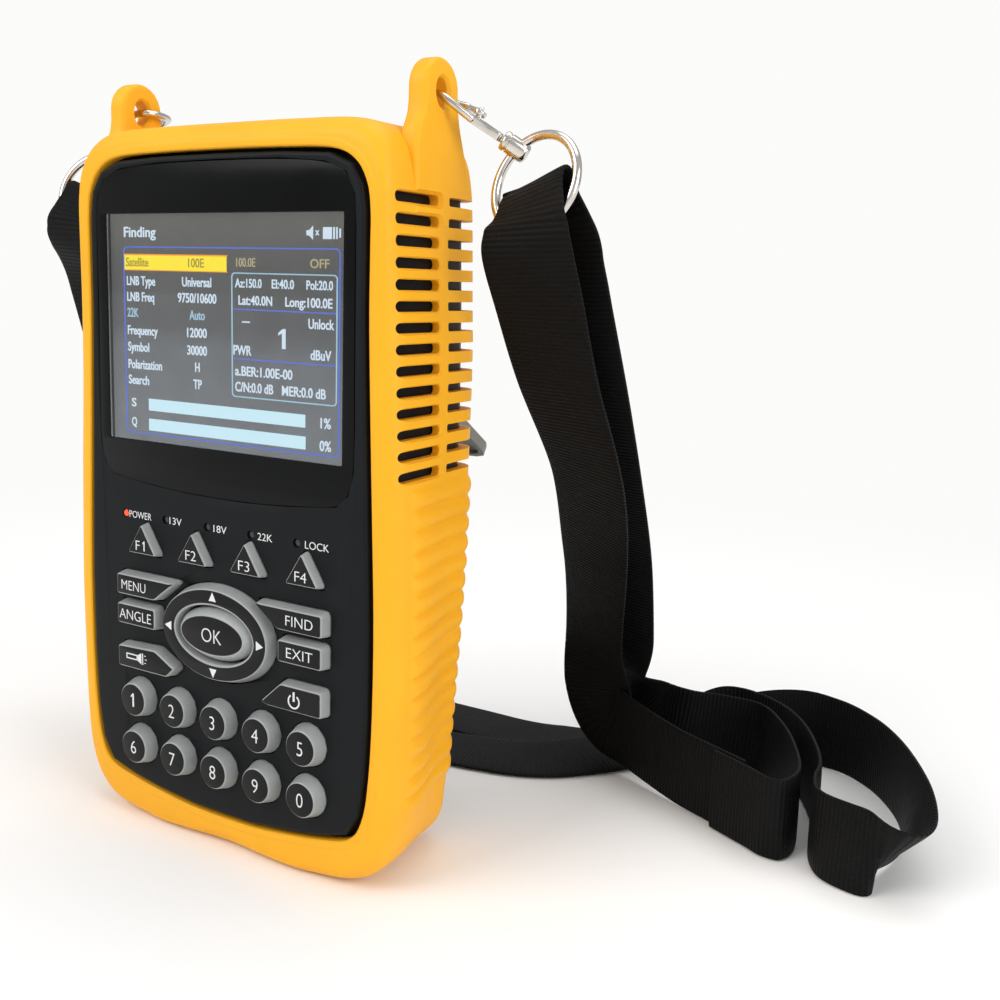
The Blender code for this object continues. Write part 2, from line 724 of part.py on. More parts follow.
def make_boot():
    """Rubber boot with its lip, ears, grip ridges, vent slots and openings."""
    boot = slab("protective_boot", body_outline, lip_setback, body_depth, boot_front_round, boot_back_round,
                yellow_rubber)
    bead = slab("lip_bead", inset(panel_outline, -lip_gap - lip_width), lip_setback - lip_height,
                lip_setback + boot_wall, lip_height)
    combine(boot, bead, "UNION")
    combine(boot, grouped("ears", [make_ear(side) for side in (1, -1)]), "UNION")
    heights = ridge_top_z - ridge_pitch * np.arange(ridge_count)
    combine(boot, grouped("ridges", [make_ridge(z, side) for z in heights for side in (1, -1)]), "UNION")
    combine(boot, slab("boot_hollow", inset(body_outline, boot_wall), lip_setback + boot_wall,
                       body_depth - boot_wall, boot_front_round - boot_wall, boot_back_round - boot_wall))
    front = flat("front_opening", [inset(panel_outline, -lip_gap)], -overrun, case_front + overrun / 2)
    back = flat("rear_window", [window_outline], case_back - overrun, body_depth + overrun)
    top = flat("top_opening", [rounded_box(-deck_half_width, deck_half_width, deck_front, deck_back,
                                           deck_round)], body_height - boot_wall - overrun,
               body_height + overrun, faces_to="up")
    holes = [loft("ear_hole", [at_side(ellipse((ear_depth, ear_hole_z), ear_hole_radius + grow,
                                               ear_hole_radius + ear_hole_rise + grow, 12), side * x)
                               for x, grow in ((ear_outer_x + ear_edge, ear_edge),
                                               (ear_outer_x - ear_edge, 0),
                                               (ear_outer_x - ear_thickness + ear_edge, 0),
                                               (ear_outer_x - ear_thickness - ear_edge, ear_edge))])
             for side in (1, -1)]
    combine(boot, grouped("openings", [front, back, top, *holes]))
    heights = vent_top_z - vent_pitch * np.arange(vent_count)
    slots = [make(z, side) for make in (side_vent, corner_vent) for z in heights for side in (1, -1)]
    combine(boot, grouped("vents", slots))
    bake(boot)


def make_ear(side):
    """Flat ear with a round top, standing on the side wall."""
    top = arc((ear_depth, ear_top - ear_half_width), ear_half_width, 180, 0, 12)
    foot = ear_half_width - ear_narrowing
    outline = np.vstack([top, [(ear_depth + foot, ear_bottom), (ear_depth - foot, ear_bottom)]])
    low, high = sorted((side * ear_outer_x, side * (ear_outer_x - ear_thickness)))
    return flat("ear", [outline], low, high, faces_to="side", edge=ear_edge)


def make_ridge(height, side):
    """Round rib that runs from the side wall round the back corner and fades out at both ends."""
    wide = half_width_at(height)
    centre = (wide - boot_back_round, body_depth - boot_back_round)
    corner = arc(centre, boot_back_round, 0, 90, 2)
    path = np.vstack([[(wide, ridge_front), (wide, ridge_front + ridge_taper), (wide, centre[1])],
                      corner[1:-1], [(centre[0] - ridge_taper, body_depth)]])
    turn = np.radians([0, 0, 0, 45, 90])
    away = np.stack([np.cos(turn), np.sin(turn)], 1)
    rise = [ridge_crest_start, ridge_height, ridge_height, ridge_height, ridge_crest_start]
    rings = []
    for place, normal, crest in zip(path, away, rise):
        section = ((-ridge_half_width, -ridge_root), (-ridge_crest, crest), (ridge_crest, crest),
                   (ridge_half_width, -ridge_root))
        rings.append([(side * (place[0] + normal[0] * out), place[1] + normal[1] * out, height + up)
                      for up, out in section])
    return loft("ridge", np.array(rings))


def side_vent(height, side):
    """Slot with round ends through the side wall, wider towards the outside."""
    wide = half_width_at(height)
    rings = []
    for x, grow in ((wide - boot_wall - overrun, -vent_flare), (wide + overrun, vent_flare)):
        outline = rounded_box(vent_front - grow, vent_front + vent_length + grow, height - vent_half_height - grow,
                              height + vent_half_height + grow, vent_half_height * vent_round_share + grow, 1)
        rings.append(at_side(outline, side * x))
    return loft("side_vent", rings)


def corner_vent(height, side):
    """Plain slot through the back corner."""
    wide = half_width_at(height)
    outline = np.array([(corner_vent_front, height - corner_vent_half_height),
                        (corner_vent_front, height + corner_vent_half_height),
                        (body_depth + overrun, height + corner_vent_half_height),
                        (body_depth + overrun, height - corner_vent_half_height)])
    return loft("corner_vent", [at_side(outline, side * (wide - corner_vent_reach)),
                                at_side(outline, side * (wide + overrun))])


def make_front_shell():
    """Front half of the case: a tray with a raised panel, its key holes and its screen window."""
    shell = slab("front_shell", case_outline, case_front, parting, boot_front_round - boot_wall - piece_gap,
                 finish=black_case)
    combine(shell, slab("raised_panel", panel_outline, 0, case_front + case_wall / 2, panel_edge), "UNION")
    combine(shell, flat("tray_hollow", [inset(case_outline, case_wall)], ledge, parting + overrun))
    combine(shell, flat("panel_hollow", [inset(panel_outline, case_wall)], face_plate, ledge + overrun))
    post = screw_shank + piece_gap + screw_post_wall
    posts = [flat("post", [ellipse(place, post, post, 10)],
                  face_plate / 2 if place[1] == screw_top_z else ledge - case_wall / 2, parting - piece_gap)
             for place in screw_places]
    combine(shell, grouped("screw_posts", posts), "UNION")
    seat = flat("lens_seat", [inset(lens_outline, -piece_gap)], -overrun, lens_thickness + piece_gap)
    window = flat("screen_window", [inset(screen_outline, -window_margin)], -overrun, face_plate + overrun)
    lights = [ellipse((x, light_z), light_radius + piece_gap, light_radius + piece_gap, 6) for x in light_x]
    bores = [ellipse(place, screw_shank + piece_gap, screw_shank + piece_gap, 8) for place in screw_places]
    combine(shell, seat)
    combine(shell, window)
    combine(shell, flat("key_holes", key_holes, -overrun, face_plate + overrun))
    combine(shell, flat("light_holes", lights, -overrun, face_plate + overrun))
    combine(shell, flat("screw_bores", bores, parting - screw_length + screw_depth - piece_gap,
                        parting + overrun))
    bake(shell)


def make_screen():
    """Flush lens over the display module."""
    flat("screen_lens", [lens_outline], 0, lens_thickness, clear_lens)
    front = face_plate + piece_gap
    module = flat("lcd_panel", [rounded_box(-active_width / 2 - module_border, active_width / 2 + module_border,
                                            screen_z - active_height / 2 - module_border,
                                            screen_z + active_height / 2 + module_border, module_border / 2)],
                  front, front + module_thickness, screen_glass)
    combine(module, flat("display_recess", [screen_outline], front - overrun, front + display_recess))
    bake(module)


def make_key(name, outline, centre, height, flare=key_flare, hole=True):
    """Key whose skirt flares out to the panel and whose foot stands over the mat."""
    if hole:
        key_holes.append(inset(outline, -key_clearance) + centre)
    crown = inset(outline, flare)
    rings = [at_depth(inset(crown, key_edge), -height), at_depth(crown, key_edge - height),
             at_depth(outline, 0), at_depth(outline, key_foot)]
    return loft(name, rings, key_plastic, placed=(centre[0], 0, centre[1]))


def side_key(name, shares, side, height, length, middle, size=None):
    """Key along the left or right edge of the keypad, from its shares of a length and a height."""
    size = size or side_key_size
    start = side_key_left if side < 0 else side_key_right
    outline = np.array(shares) * (-side * length, size) - (0, size / 2)
    outline = soften(outline if side < 0 else outline[::-1], key_corner)
    centre = np.array([start - side * length / 2, middle])
    return make_key(name, inset(outline + (side * length / 2, 0), -key_flare), centre, height)


def make_keys():
    """Digits, function keys, shaped keys and the rocking pad with its centre key."""
    for digit in range(10):
        row, column = divmod((digit - 1) % 10, 5)
        centre = np.array([digit_centre_x + (column - 2) * digit_pitch, digit_row_z - row * digit_row_pitch])
        outline = ellipse((0, 0), digit_radius + digit_flare, digit_radius + digit_flare, 12)
        make_key(f"key_{digit}", outline, centre, digit_height, digit_flare)
    for number in range(4):
        corners = ((-function_width / 2, 0), (0, function_rise), (function_width / 2, 0))
        outline = inset(soften(corners, key_corner, 3), -key_flare)
        centre = np.array([function_first_x + number * function_pitch, function_z])
        make_key(f"key_f{number + 1}", outline, centre, function_height)
    side_key("key_menu", pointed_key_shares, -1, side_key_height, upper_key_length, upper_key_z)
    side_key("key_find", pointed_key_shares, 1, side_key_height, upper_key_length, upper_key_z)
    side_key("key_angle", plain_key_shares, -1, side_key_height, angle_key_length, middle_key_z)
    side_key("key_exit", plain_key_shares, 1, side_key_height, exit_key_length, middle_key_z)
    side_key("key_torch", torch_key_shares, -1, side_key_height, torch_key_length, lower_key_z, lower_key_size)
    side_key("key_power", power_key_shares, 1, side_key_height, power_key_length, lower_key_z, lower_key_size)
    pad_frame = bpy.data.objects.new("pad_pivot", None)
    parts.objects.link(pad_frame)
    pad_frame.parent = face_frame
    pad_frame.location = (pad_x, pad_foot, pad_z)
    outer = ellipse((0, 0), pad_half_width, pad_half_height, 32)
    key_holes.append(inset(outer, -key_clearance) + (pad_x, pad_z))
    rings = [at_depth(inset(outer, key_flare + key_edge), -pad_height), at_depth(inset(outer, key_flare),
             key_edge - pad_height), at_depth(outer, 0), at_depth(outer, pad_foot)]
    ring = loft("dpad_ring", rings, key_plastic, placed=(0, -pad_foot, 0), carrier=pad_frame)
    well = ellipse((0, 0), pad_hole_half_width, pad_hole_half_height, 20)
    combine(ring, flat("pad_well", [well], -pad_height - overrun, pad_foot + overrun, placed=(pad_x, 0, pad_z)))
    bake(ring)
    front = pad_foot + gimbal_drop
    gimbal = flat("dpad_gimbal", [inset(outer, gimbal_inset), inset(well, -gimbal_inset)], front,
                  front + gimbal_thickness, key_plastic, placed=(0, -pad_foot, 0), carrier=pad_frame)
    bake(gimbal)
    outline = ellipse((0, 0), ok_half_width + ok_flare, ok_half_height + ok_flare, 20)
    make_key("key_ok", outline, np.array([pad_x, pad_z]), ok_height, ok_flare, hole=False)


def make_keypad():
    """Light guide, switch mat and switch board behind the keys."""
    bar = rounded_box(light_x[0] - light_bar_height, light_x[-1] + light_bar_height,
                      light_z - light_bar_height / 2, light_z + light_bar_height / 2, light_radius)
    front = face_plate + piece_gap
    guide = flat("light_bar", [bar], front, front + light_bar_thickness, light_pipe)
    pegs = [flat("peg", [ellipse((x, light_z), light_radius, light_radius, 6)], light_sunk,
                 front + light_bar_thickness / 2) for x in light_x]
    combine(guide, grouped("pegs", pegs), "UNION")
    bake(guide)
    board_front = ledge + piece_gap
    mat = clipped(inset(panel_outline, case_wall + mat_margin), keypad_bottom, keypad_top)
    flat("keypad_mat", [mat], board_front - piece_gap - mat_thickness, board_front - piece_gap, soft_mat)
    board = clipped(inset(panel_outline, -board_lap), keypad_bottom, keypad_top)
    flat("keypad_board", [board], board_front, board_front + board_thickness, board_green)


def make_rear_shell():
    """Rear half of the case: bays for the stand, battery and sockets, with posts for the boards."""
    shell = slab("rear_shell", case_outline, rear_front, case_back, 0, case_back_round, grey_case)
    raised = inset(window_outline, piece_gap)
    combine(shell, slab("raised_back", raised, inner_back - case_wall, plateau, 0, panel_edge), "UNION")
    combine(shell, flat("case_hollow", [inset(case_outline, case_wall)], rear_front - overrun,
                        case_back - case_wall))
    combine(shell, flat("back_hollow", [inset(raised, case_wall)], case_back - case_wall - overrun, inner_back))
    bay_front = battery_back - battery_depth - piece_gap
    post = screw_head + screw_clearance + screw_post_wall
    blocks = [
        flat("stand_block", [rounded_box(*grown(stand_recess, stand_pin_seat + case_wall), stand_round)],
             plateau - recess_depth - case_wall, inner_back + case_wall / 2),
        flat("bay_block", [rounded_box(*grown(battery_bay, bay_wall), battery_round)],
             bay_front - bay_wall, inner_back + case_wall / 2),
        flat("cover_block", [rounded_box(*grown(cover_seat, cover_rim), cover_round)],
             cover_front - piece_gap - cover_seat_wall, inner_back + case_wall / 2),
        flat("screw_block", [ellipse((0, cover_screw_z), post, post, 12)],
             cover_front - screw_length - bay_wall, inner_back),
        flat("deck_block", [rounded_box(-deck_half_width - case_wall, deck_half_width + case_wall,
                                        rear_front + piece_gap, deck_back + case_wall - piece_gap * 2,
                                        deck_round)],
             deck_floor_z - case_wall, body_height - boot_wall - case_wall, faces_to="up")]
    blocks += [flat("post", [ellipse(place, post, post, 10)], rear_front + 2 * piece_gap,
                    case_back - case_wall / 2) for place in screw_places]
    blocks += [flat("standoff", [ellipse((side * standoff_x, z), standoff_radius, standoff_radius, 10)],
                    board_y + board_thickness + piece_gap, inner_back + case_wall / 2)
               for z in (board_bottom + standoff_edge, board_top - standoff_edge) for side in (1, -1)]
    for block in blocks:
        combine(shell, block, "UNION")
    upper = rounded_box(*stand_recess, stand_clearance)
    recess = np.vstack([upper[:len(upper) // 2], rounded_box(*stand_recess, stand_round)[len(upper) // 2:]])
    combine(shell, flat("stand_recess", [recess], plateau - recess_depth, plateau + overrun))
    combine(shell, flat("battery_bay", [rounded_box(*battery_bay, battery_round)], bay_front,
                        plateau + overrun))
    combine(shell, flat("cover_seat", [rounded_box(*cover_seat, cover_round)], cover_front - piece_gap,
                        plateau + overrun))
    combine(shell, flat("deck_well", [rounded_box(-deck_half_width, deck_half_width, deck_front, deck_back,
                                                  deck_round)], deck_floor_z, body_height, faces_to="up"))
    combine(shell, flat("deck_holes", [inset(outline, -piece_gap) for outline in deck_outlines],
                        deck_floor_z - case_wall - overrun, deck_floor_z + overrun, faces_to="up"))
    heights = [speaker_z + (step - (grille_slots - 1) / 2) * grille_pitch for step in range(grille_slots)]
    combine(shell, flat("grille", [rounded_box(speaker_x - grille_length / 2, speaker_x + grille_length / 2,
                                               z - grille_half_height, z + grille_half_height,
                                               grille_half_height * vent_round_share, 1) for z in heights],
                        inner_back - overrun, plateau + overrun))
    heads = [flat("head_well", [ellipse(place, screw_head + screw_clearance, screw_head + screw_clearance, 12)],
                  parting + screw_depth - piece_gap, case_back + overrun) for place in screw_places]
    shanks = [flat("shank_bore", [ellipse(place, screw_shank + piece_gap, screw_shank + piece_gap, 8)],
                   rear_front - overrun, parting + screw_depth + overrun) for place in screw_places]
    combine(shell, grouped("head_wells", heads))
    combine(shell, grouped("shank_bores", shanks))
    place = (0, cover_screw_z)
    combine(shell, flat("cover_bore", [ellipse(place, screw_shank + piece_gap, screw_shank + piece_gap, 10)],
                        cover_front - screw_length, plateau))
    combine(shell, flat("pin_bore", [ellipse((hinge_depth, stand_hinge_z), stand_pin + piece_gap,
                                             stand_pin + piece_gap, 10)],
                        -stand_pin_reach - piece_gap, stand_pin_reach + piece_gap, faces_to="side"))
    bake(shell)


def make_boards():
    """Main board with its tuner can, and the loudspeaker."""
    flat("main_board", [rounded_box(-board_half_width, board_half_width, board_bottom, board_top,
                                    deck_round, 1)], board_y, board_y + board_thickness, board_green)
    front = board_y + board_thickness + piece_gap
    flat("tuner_can", [rounded_box(tuner_left, tuner_right, tuner_bottom, tuner_top, deck_round, 1)],
         front, plateau - recess_depth - case_wall - tuner_clearance, nickel, edge=key_edge)
    back = inner_back - piece_gap
    turned("speaker", [(0, 0), (speaker_radius, 0), (speaker_radius, -speaker_depth / 2),
                       (speaker_radius / 2, -speaker_depth), (0, -speaker_depth)], black_case,
           placed=(speaker_x, back, speaker_z)).rotation_euler = (-math.pi / 2, 0, 0)


def make_battery():
    """Battery pack of two cells behind its screwed cover."""
    low, high = battery_back - battery_depth, battery_back
    pack = rounded_box(low, high, battery_bottom, battery_top, battery_depth / 2 - key_edge, 4)
    flat("battery_pack", [pack], -battery_half_width, battery_half_width, battery_wrap, faces_to="side")
    place = (0, cover_screw_z)
    cover = flat("battery_cover", [rounded_box(*grown(cover_seat, -piece_gap), cover_round - piece_gap)],
                 cover_front, plateau, grey_case, edge=key_edge)
    grips = [flat("grip", [rounded_box(-cover_grip_half_width, cover_grip_half_width,
                                       grip - cover_grip_height, grip + cover_grip_height, key_edge, 1)],
                  plateau - cover_grip_height, plateau + overrun)
             for grip in cover_seat[2] + cover_grip_pitch * np.arange(2, 2 + cover_grip_count)]
    combine(cover, grouped("grips", grips))
    combine(cover, flat("cover_hole", [ellipse(place, screw_shank + piece_gap, screw_shank + piece_gap, 10)],
                        cover_front - overrun, plateau + overrun))
    combine(cover, flat("cover_well", [ellipse(place, screw_head + screw_clearance,
                                               screw_head + screw_clearance, 14)],
                        plateau - cover_well_depth, plateau + overrun))
    bake(cover)
    make_screw("cover_screw", (0, cover_screw_z), plateau - cover_well_depth + piece_gap)


def make_screw(name, place, under_head):
    """Case screw with a domed head, its head towards the back."""
    screw = turned(name, [(0, screw_head_height), (screw_head * screw_top_share, screw_head_height),
                          (screw_head, screw_head_height / 2), (screw_head, 0), (screw_shank, 0),
                          (screw_shank, piece_gap - screw_length), (0, piece_gap - screw_length)],
                   bright_steel, 10)
    screw.location = (place[0], under_head, place[1])
    screw.rotation_euler = (-math.pi / 2, 0, 0)


def ring_turned(name, inner, outer, top, bottom, flange, flange_top, finish, place):
    """Round socket with a bore, a flange under the deck and a tail."""
    profile = [(0, top - port_bore_depth), (inner, top - port_bore_depth), (inner, top), (outer, top),
               (outer, flange_top), (flange, flange_top), (flange, flange_top - flange_height),
               (outer, flange_top - flange_height), (outer, bottom), (0, bottom)]
    return turned(name, profile, finish, placed=(place[0], place[1], 0))


def make_sockets():
    """Aerial socket with its nut, power, video, data and sound sockets, and the torch."""
    under = deck_floor_z - case_wall - piece_gap
    tail = tuner_top + piece_gap
    ring_turned("f_socket", socket_bore, socket_radius, socket_top, tail, socket_flange, under, nickel,
                (socket_x, deck_middle))
    floor = deck_floor_z + piece_gap
    flat("f_nut", [ellipse((socket_x, deck_middle), nut_radius, nut_radius, 6),
                   ellipse((socket_x, deck_middle), socket_radius + piece_gap, socket_radius + piece_gap, 20)],
         floor, floor + nut_height, nickel, faces_to="up")
    proud = deck_floor_z + port_proud
    ring_turned("power_jack", power_jack_bore, power_jack_radius, proud, deck_floor_z - port_depth,
                power_jack_radius + port_wall, under, black_case, (power_jack_x, deck_middle))
    ring_turned("av_jack", av_jack_bore, av_jack_radius, proud, deck_floor_z - port_depth,
                av_jack_radius + port_wall, under, black_case, (av_jack_x, deck_middle))
    turned("torch_lens", [(0, proud + torch_radius / 2), (torch_radius / 2, proud + torch_radius / 3),
                          (torch_radius, proud), (torch_radius, under), (torch_radius + port_wall, under),
                          (torch_radius + port_wall, under - flange_height), (0, under - flange_height)],
           light_pipe, 16, placed=(torch_x, deck_middle, 0))
    for name, x, y, width, thickness in (("video_port", video_x, video_y, video_width, video_thickness),
                                         ("data_port", video_x, data_y, data_width, data_thickness)):
        outline = port_outline(x, y, width, thickness)
        port = flat(name, [outline], deck_floor_z - port_depth, proud, nickel, faces_to="up")
        tongue = port_outline(x, y, width * tongue_share, thickness * tongue_share / 2)
        combine(port, flat(f"{name}_bore", [inset(outline, port_wall), tongue], proud - port_bore_depth,
                           proud + overrun, faces_to="up"))
        bake(port)


def make_stand():
    """Folding stand on its pin, drawn closed about its hinge and opened by its own frame."""
    pin = flat("kickstand_pin", [ellipse((hinge_depth, stand_hinge_z), stand_pin, stand_pin, 12)],
               -stand_pin_reach, stand_pin_reach, bright_steel, faces_to="side")
    hinge = bpy.data.objects.new("stand_hinge", None)
    parts.objects.link(hinge)
    hinge.parent = face_frame
    hinge.location = (0, hinge_depth, stand_hinge_z)
    hinge.rotation_euler = (math.radians(stand_open_angle), 0, 0)
    outer = rounded_box(-stand_half_width, stand_half_width, -stand_length, stand_barrel / 2, stand_round)
    back = stand_barrel
    front = stand_barrel - stand_thickness
    stand = flat("kickstand", [outer], front, back, grey_case, carrier=hinge)
    rim = flat("stand_rim", [outer, inset(outer, stand_flange_width)], front - stand_flange,
               front + stand_thickness / 2, carrier=hinge)
    barrel = flat("stand_barrel", [ellipse((0, 0), stand_barrel, stand_barrel, 16)], -stand_half_width,
                  stand_half_width, faces_to="side", carrier=hinge)
    combine(stand, rim, "UNION")
    combine(stand, barrel, "UNION")
    combine(stand, flat("stand_bore", [ellipse((0, 0), stand_pin + piece_gap, stand_pin + piece_gap, 12)],
                        -stand_half_width - overrun, stand_half_width + overrun, faces_to="side",
                        carrier=hinge))
    combine(stand, flat("thumb_notch", [ellipse((0, -stand_length), notch_half_width, notch_rise, 24)],
                        front - stand_flange - overrun, back + overrun, carrier=hinge))
    bake(stand)
    return pin


def tube(name, points, radius, carrier, finish=None, steps=1):
    """Round wire along a path, with flat ends."""
    path = smooth_path(points, steps)
    along = unit(np.gradient(path, axis=0))
    first = unit(np.cross(along, hook_across_shares))
    second = np.cross(along, first)
    turn = np.linspace(0, math.tau, 8, endpoint=False)[None, :, None]
    rings = path[:, None] + radius * (np.cos(turn) * first[:, None] + np.sin(turn) * second[:, None])
    return loft(name, rings, finish, carrier=carrier)


def torus(name, side, radius, finish=None):
    """Round ring of a wire radius about the place and axis of one side's ring."""
    axis, level, up = ring_axes(side)
    turn = np.linspace(0, math.tau, 24, endpoint=False)[:, None, None]
    wire = np.linspace(0, math.tau, 8, endpoint=False)[None, :, None]
    out = np.cos(turn) * level + np.sin(turn) * up
    points = ring_place(side) + (ring_radius + radius * np.cos(wire)) * out + radius * np.sin(wire) * axis
    grid = np.arange(24 * 8).reshape(24, 8)
    corners = [grid, np.roll(grid, -1, 0), np.roll(np.roll(grid, -1, 0), -1, 1), np.roll(grid, -1, 1)]
    mesh = bpy.data.meshes.new(name)
    mesh.from_pydata(points.reshape(-1, 3).tolist(), [], np.stack(corners, -1).reshape(-1, 4).tolist())
    outward(mesh)
    return make_object(name, mesh, finish, carrier=ground_frame)


def ring_place(side):
    """Centre of one side's ring."""
    return np.array([side * ring_x, ring_y, ring_z])


def ring_axes(side):
    """Axis of one side's ring, its level direction and its upward direction."""
    axis = unit(ring_axis_shares) * (side, 1, 1)
    level = unit(np.array([-axis[1] * side, axis[0] * side, 0]))
    return axis, level, side * np.cross(axis, level)


def make_hook(side, label):
    """Hook from the ear to the ring's swivel, with its gate, in a frame along the hook."""
    axis, level, up = ring_axes(side)
    start = np.array([side * (ear_outer_x - ear_thickness / 2), ear_depth - body_depth / 2, ear_hole_z])
    end = ring_place(side) + ring_radius * (math.cos(swivel_turn) * level + math.sin(swivel_turn) * up)
    length = float(np.linalg.norm(end - start))
    along = (end - start) / length
    across = np.array(hook_across_shares) * (side, 1, 1)
    across = unit(across - across.dot(along) * along)
    hook_frame = bpy.data.objects.new(f"{label}_hook_frame", None)
    parts.objects.link(hook_frame)
    hook_frame.parent = ground_frame
    hook_frame.location = start
    columns = Matrix((across, np.cross(along, across), along))
    hook_frame.rotation_euler = columns.transposed().to_euler()
    faces = (1, side, 1)
    hook = tube(f"{label}_hook", np.array(hook_bow_shares) * hook_reach * faces, hook_wire, hook_frame,
                bright_steel, 2)
    shank_end = length - swivel_below - piece_gap
    bar = rounded_box(-shank_half_width, shank_half_width, shank_start, shank_end, shank_slot, 1)
    slot = rounded_box(-shank_slot, shank_slot, shank_start + shank_slot_start, shank_end - shank_slot_end,
                       shank_slot * vent_round_share, 1)
    combine(hook, flat("shank", [bar, slot], -hook_wire, hook_wire, carrier=hook_frame), "UNION")
    stud_end = shank_end + swivel_bore_depth
    combine(hook, turned("stud", [(0, stud_end), (stud_radius, stud_end),
                                  (stud_radius, shank_end - shank_slot_end / 2),
                                  (0, shank_end - shank_slot_end / 2)], steps=10, carrier=hook_frame), "UNION")
    low, high = sorted((side * hook_wire / 2, side * (gate_high + piece_gap)))
    combine(hook, flat("gate_pin", [ellipse((gate_across, gate_along), gate_pin, gate_pin, 8)], low, high,
                       carrier=hook_frame), "UNION")
    bake(hook)
    low, high = sorted((side * gate_low, side * gate_high))
    gate = flat(f"{label}_gate", [ellipse((0, 0), gate_eye, gate_eye, 12)], low, high, bright_steel,
                placed=(gate_across, 0, gate_along), carrier=hook_frame)
    rod = tube("gate_rod", np.array(gate_rod_shares) * hook_reach * faces, gate_wire, hook_frame)
    rod.location = (gate_across, 0, gate_along)
    combine(gate, rod, "UNION")
    combine(gate, flat("gate_bore", [ellipse((gate_across, gate_along), gate_bore, gate_bore, 10)],
                       low - overrun, high + overrun, carrier=hook_frame))
    bake(gate)
    bottom = length - swivel_below
    swivel = turned(f"{label}_swivel", [(0, length + swivel_above), (swivel_radius, length + swivel_above),
                                        (swivel_radius, bottom), (swivel_bore, bottom),
                                        (swivel_bore, bottom + swivel_bore_depth),
                                        (0, bottom + swivel_bore_depth)], bright_steel, 14, carrier=hook_frame)
    combine(swivel, torus("ring_bore", side, ring_bore))
    bake(swivel)
    torus(f"{label}_ring", side, ring_wire, bright_steel)


def make_strap(name, shares, side):
    """Flat band of webbing along its route, narrower where it passes through its ring."""
    rows = smooth_path(shares)
    middle = rows[:, :3] * strap_reach
    along = unit(np.gradient(middle, axis=0))
    across = rows[:, 3:]
    across = unit(across - np.sum(across * along, axis=1, keepdims=True) * along)
    away = np.linalg.norm(middle - ring_place(side), axis=1, keepdims=True)
    wide = across * strap_width / 2 * (1 - strap_squeeze_share * np.exp(-(away / strap_squeeze) ** 4))
    out = np.cross(along, across) * strap_thickness / 2
    loft(name, np.stack([middle - wide - out, middle + wide - out, middle + wide + out, middle - wide + out], 1),
         webbing, carrier=ground_frame)


make_boot()
make_keys()
make_front_shell()
make_screen()
make_keypad()
make_rear_shell()
make_boards()
make_battery()
make_sockets()
make_stand()
for place, name in zip(screw_places, ("top_right", "top_left", "bottom_right", "bottom_left")):
    make_screw(f"case_screw_{name}", place, parting + screw_depth)
for side, label in ((1, "right"), (-1, "left")):
    make_hook(side, label)
make_strap("right_strap", right_strap_shares, 1)
make_strap("left_strap", left_strap_shares, -1)
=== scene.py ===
# %% [markdown]
# # A handheld signal meter in its rubber boot
#
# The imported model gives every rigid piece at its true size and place. This lesson dresses it:
# the visible surfaces are worked out with numpy, put into meshes, and given node materials.
# Lengths are in metres, +Z is up and -Y is the way that the screen faces.

import json
import math

import bmesh
import bpy
import numpy as np
from mathutils import Matrix


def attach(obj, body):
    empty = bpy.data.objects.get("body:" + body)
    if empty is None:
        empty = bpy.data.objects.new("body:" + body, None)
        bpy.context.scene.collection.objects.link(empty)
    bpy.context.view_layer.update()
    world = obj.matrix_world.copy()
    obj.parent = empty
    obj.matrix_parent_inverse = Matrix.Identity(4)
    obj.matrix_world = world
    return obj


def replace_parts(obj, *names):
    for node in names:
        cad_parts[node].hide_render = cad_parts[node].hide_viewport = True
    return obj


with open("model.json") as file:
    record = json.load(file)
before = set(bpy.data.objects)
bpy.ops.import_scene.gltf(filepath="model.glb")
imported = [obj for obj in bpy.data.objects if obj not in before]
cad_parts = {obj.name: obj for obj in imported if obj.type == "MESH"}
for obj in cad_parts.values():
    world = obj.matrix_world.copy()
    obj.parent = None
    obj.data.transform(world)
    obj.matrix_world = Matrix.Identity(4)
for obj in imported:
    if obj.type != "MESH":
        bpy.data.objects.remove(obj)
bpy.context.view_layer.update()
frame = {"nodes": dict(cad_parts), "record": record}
MM = 0.001
FACE = -0.01825      # the plane of the panel's face, half the boot's depth in front of the origin

# %% [markdown]
# ## Camera
#
# A camera is placed by its position and by the three directions of its picture. Here they come
# from a fit to the screen's corners, the keys, the vents and the ears: the lens looks a little
# down and to the left, and a small shift keeps the same framing without turning the camera.

# %% Place the camera
YAW, PITCH, ROLL = math.radians(30.68), math.radians(8.96), math.radians(-1.63)
CAMERA_PLACE = (0.18154, -0.20688, 0.13452)
SENSOR_MM, LENS_MM = 36, 41.08
SHIFT_X, SHIFT_Y = 0.0171, -0.0342
ahead = np.array([-math.sin(YAW) * math.cos(PITCH), math.cos(YAW) * math.cos(PITCH), -math.sin(PITCH)])
level = np.array([math.cos(YAW), math.sin(YAW), 0])
down = np.cross(ahead, level)
right = math.cos(ROLL) * level + math.sin(ROLL) * down
down = math.cos(ROLL) * down - math.sin(ROLL) * level
camera = bpy.data.objects.new("camera", bpy.data.cameras.new("camera"))
bpy.context.scene.collection.objects.link(camera)
camera.data.sensor_width, camera.data.lens = SENSOR_MM, LENS_MM
camera.data.shift_x, camera.data.shift_y = SHIFT_X, SHIFT_Y
camera.data.clip_start = 0.01
camera.matrix_world = (Matrix.Translation(CAMERA_PLACE)
                       @ Matrix(np.array([right, -down, -ahead]).T.tolist()).to_4x4())
bpy.context.scene.camera = camera
print("camera looks along", np.round(ahead, 3).tolist())

# %% [markdown]
# ## Grids and pieces
#
# Every new surface is a grid of points. The helper joins neighbours into quads, closes the grid
# round its columns, caps its ends unless its rows go round too, and turns all faces outwards. A
# box or a sphere with modifiers could stand for simple pieces, but a grid takes any formula.

# %% Grid helpers
def unit(rows):
    """Each row divided by its own length."""
    rows = np.asarray(rows, dtype=float)
    return rows / np.linalg.norm(rows, axis=-1, keepdims=True)


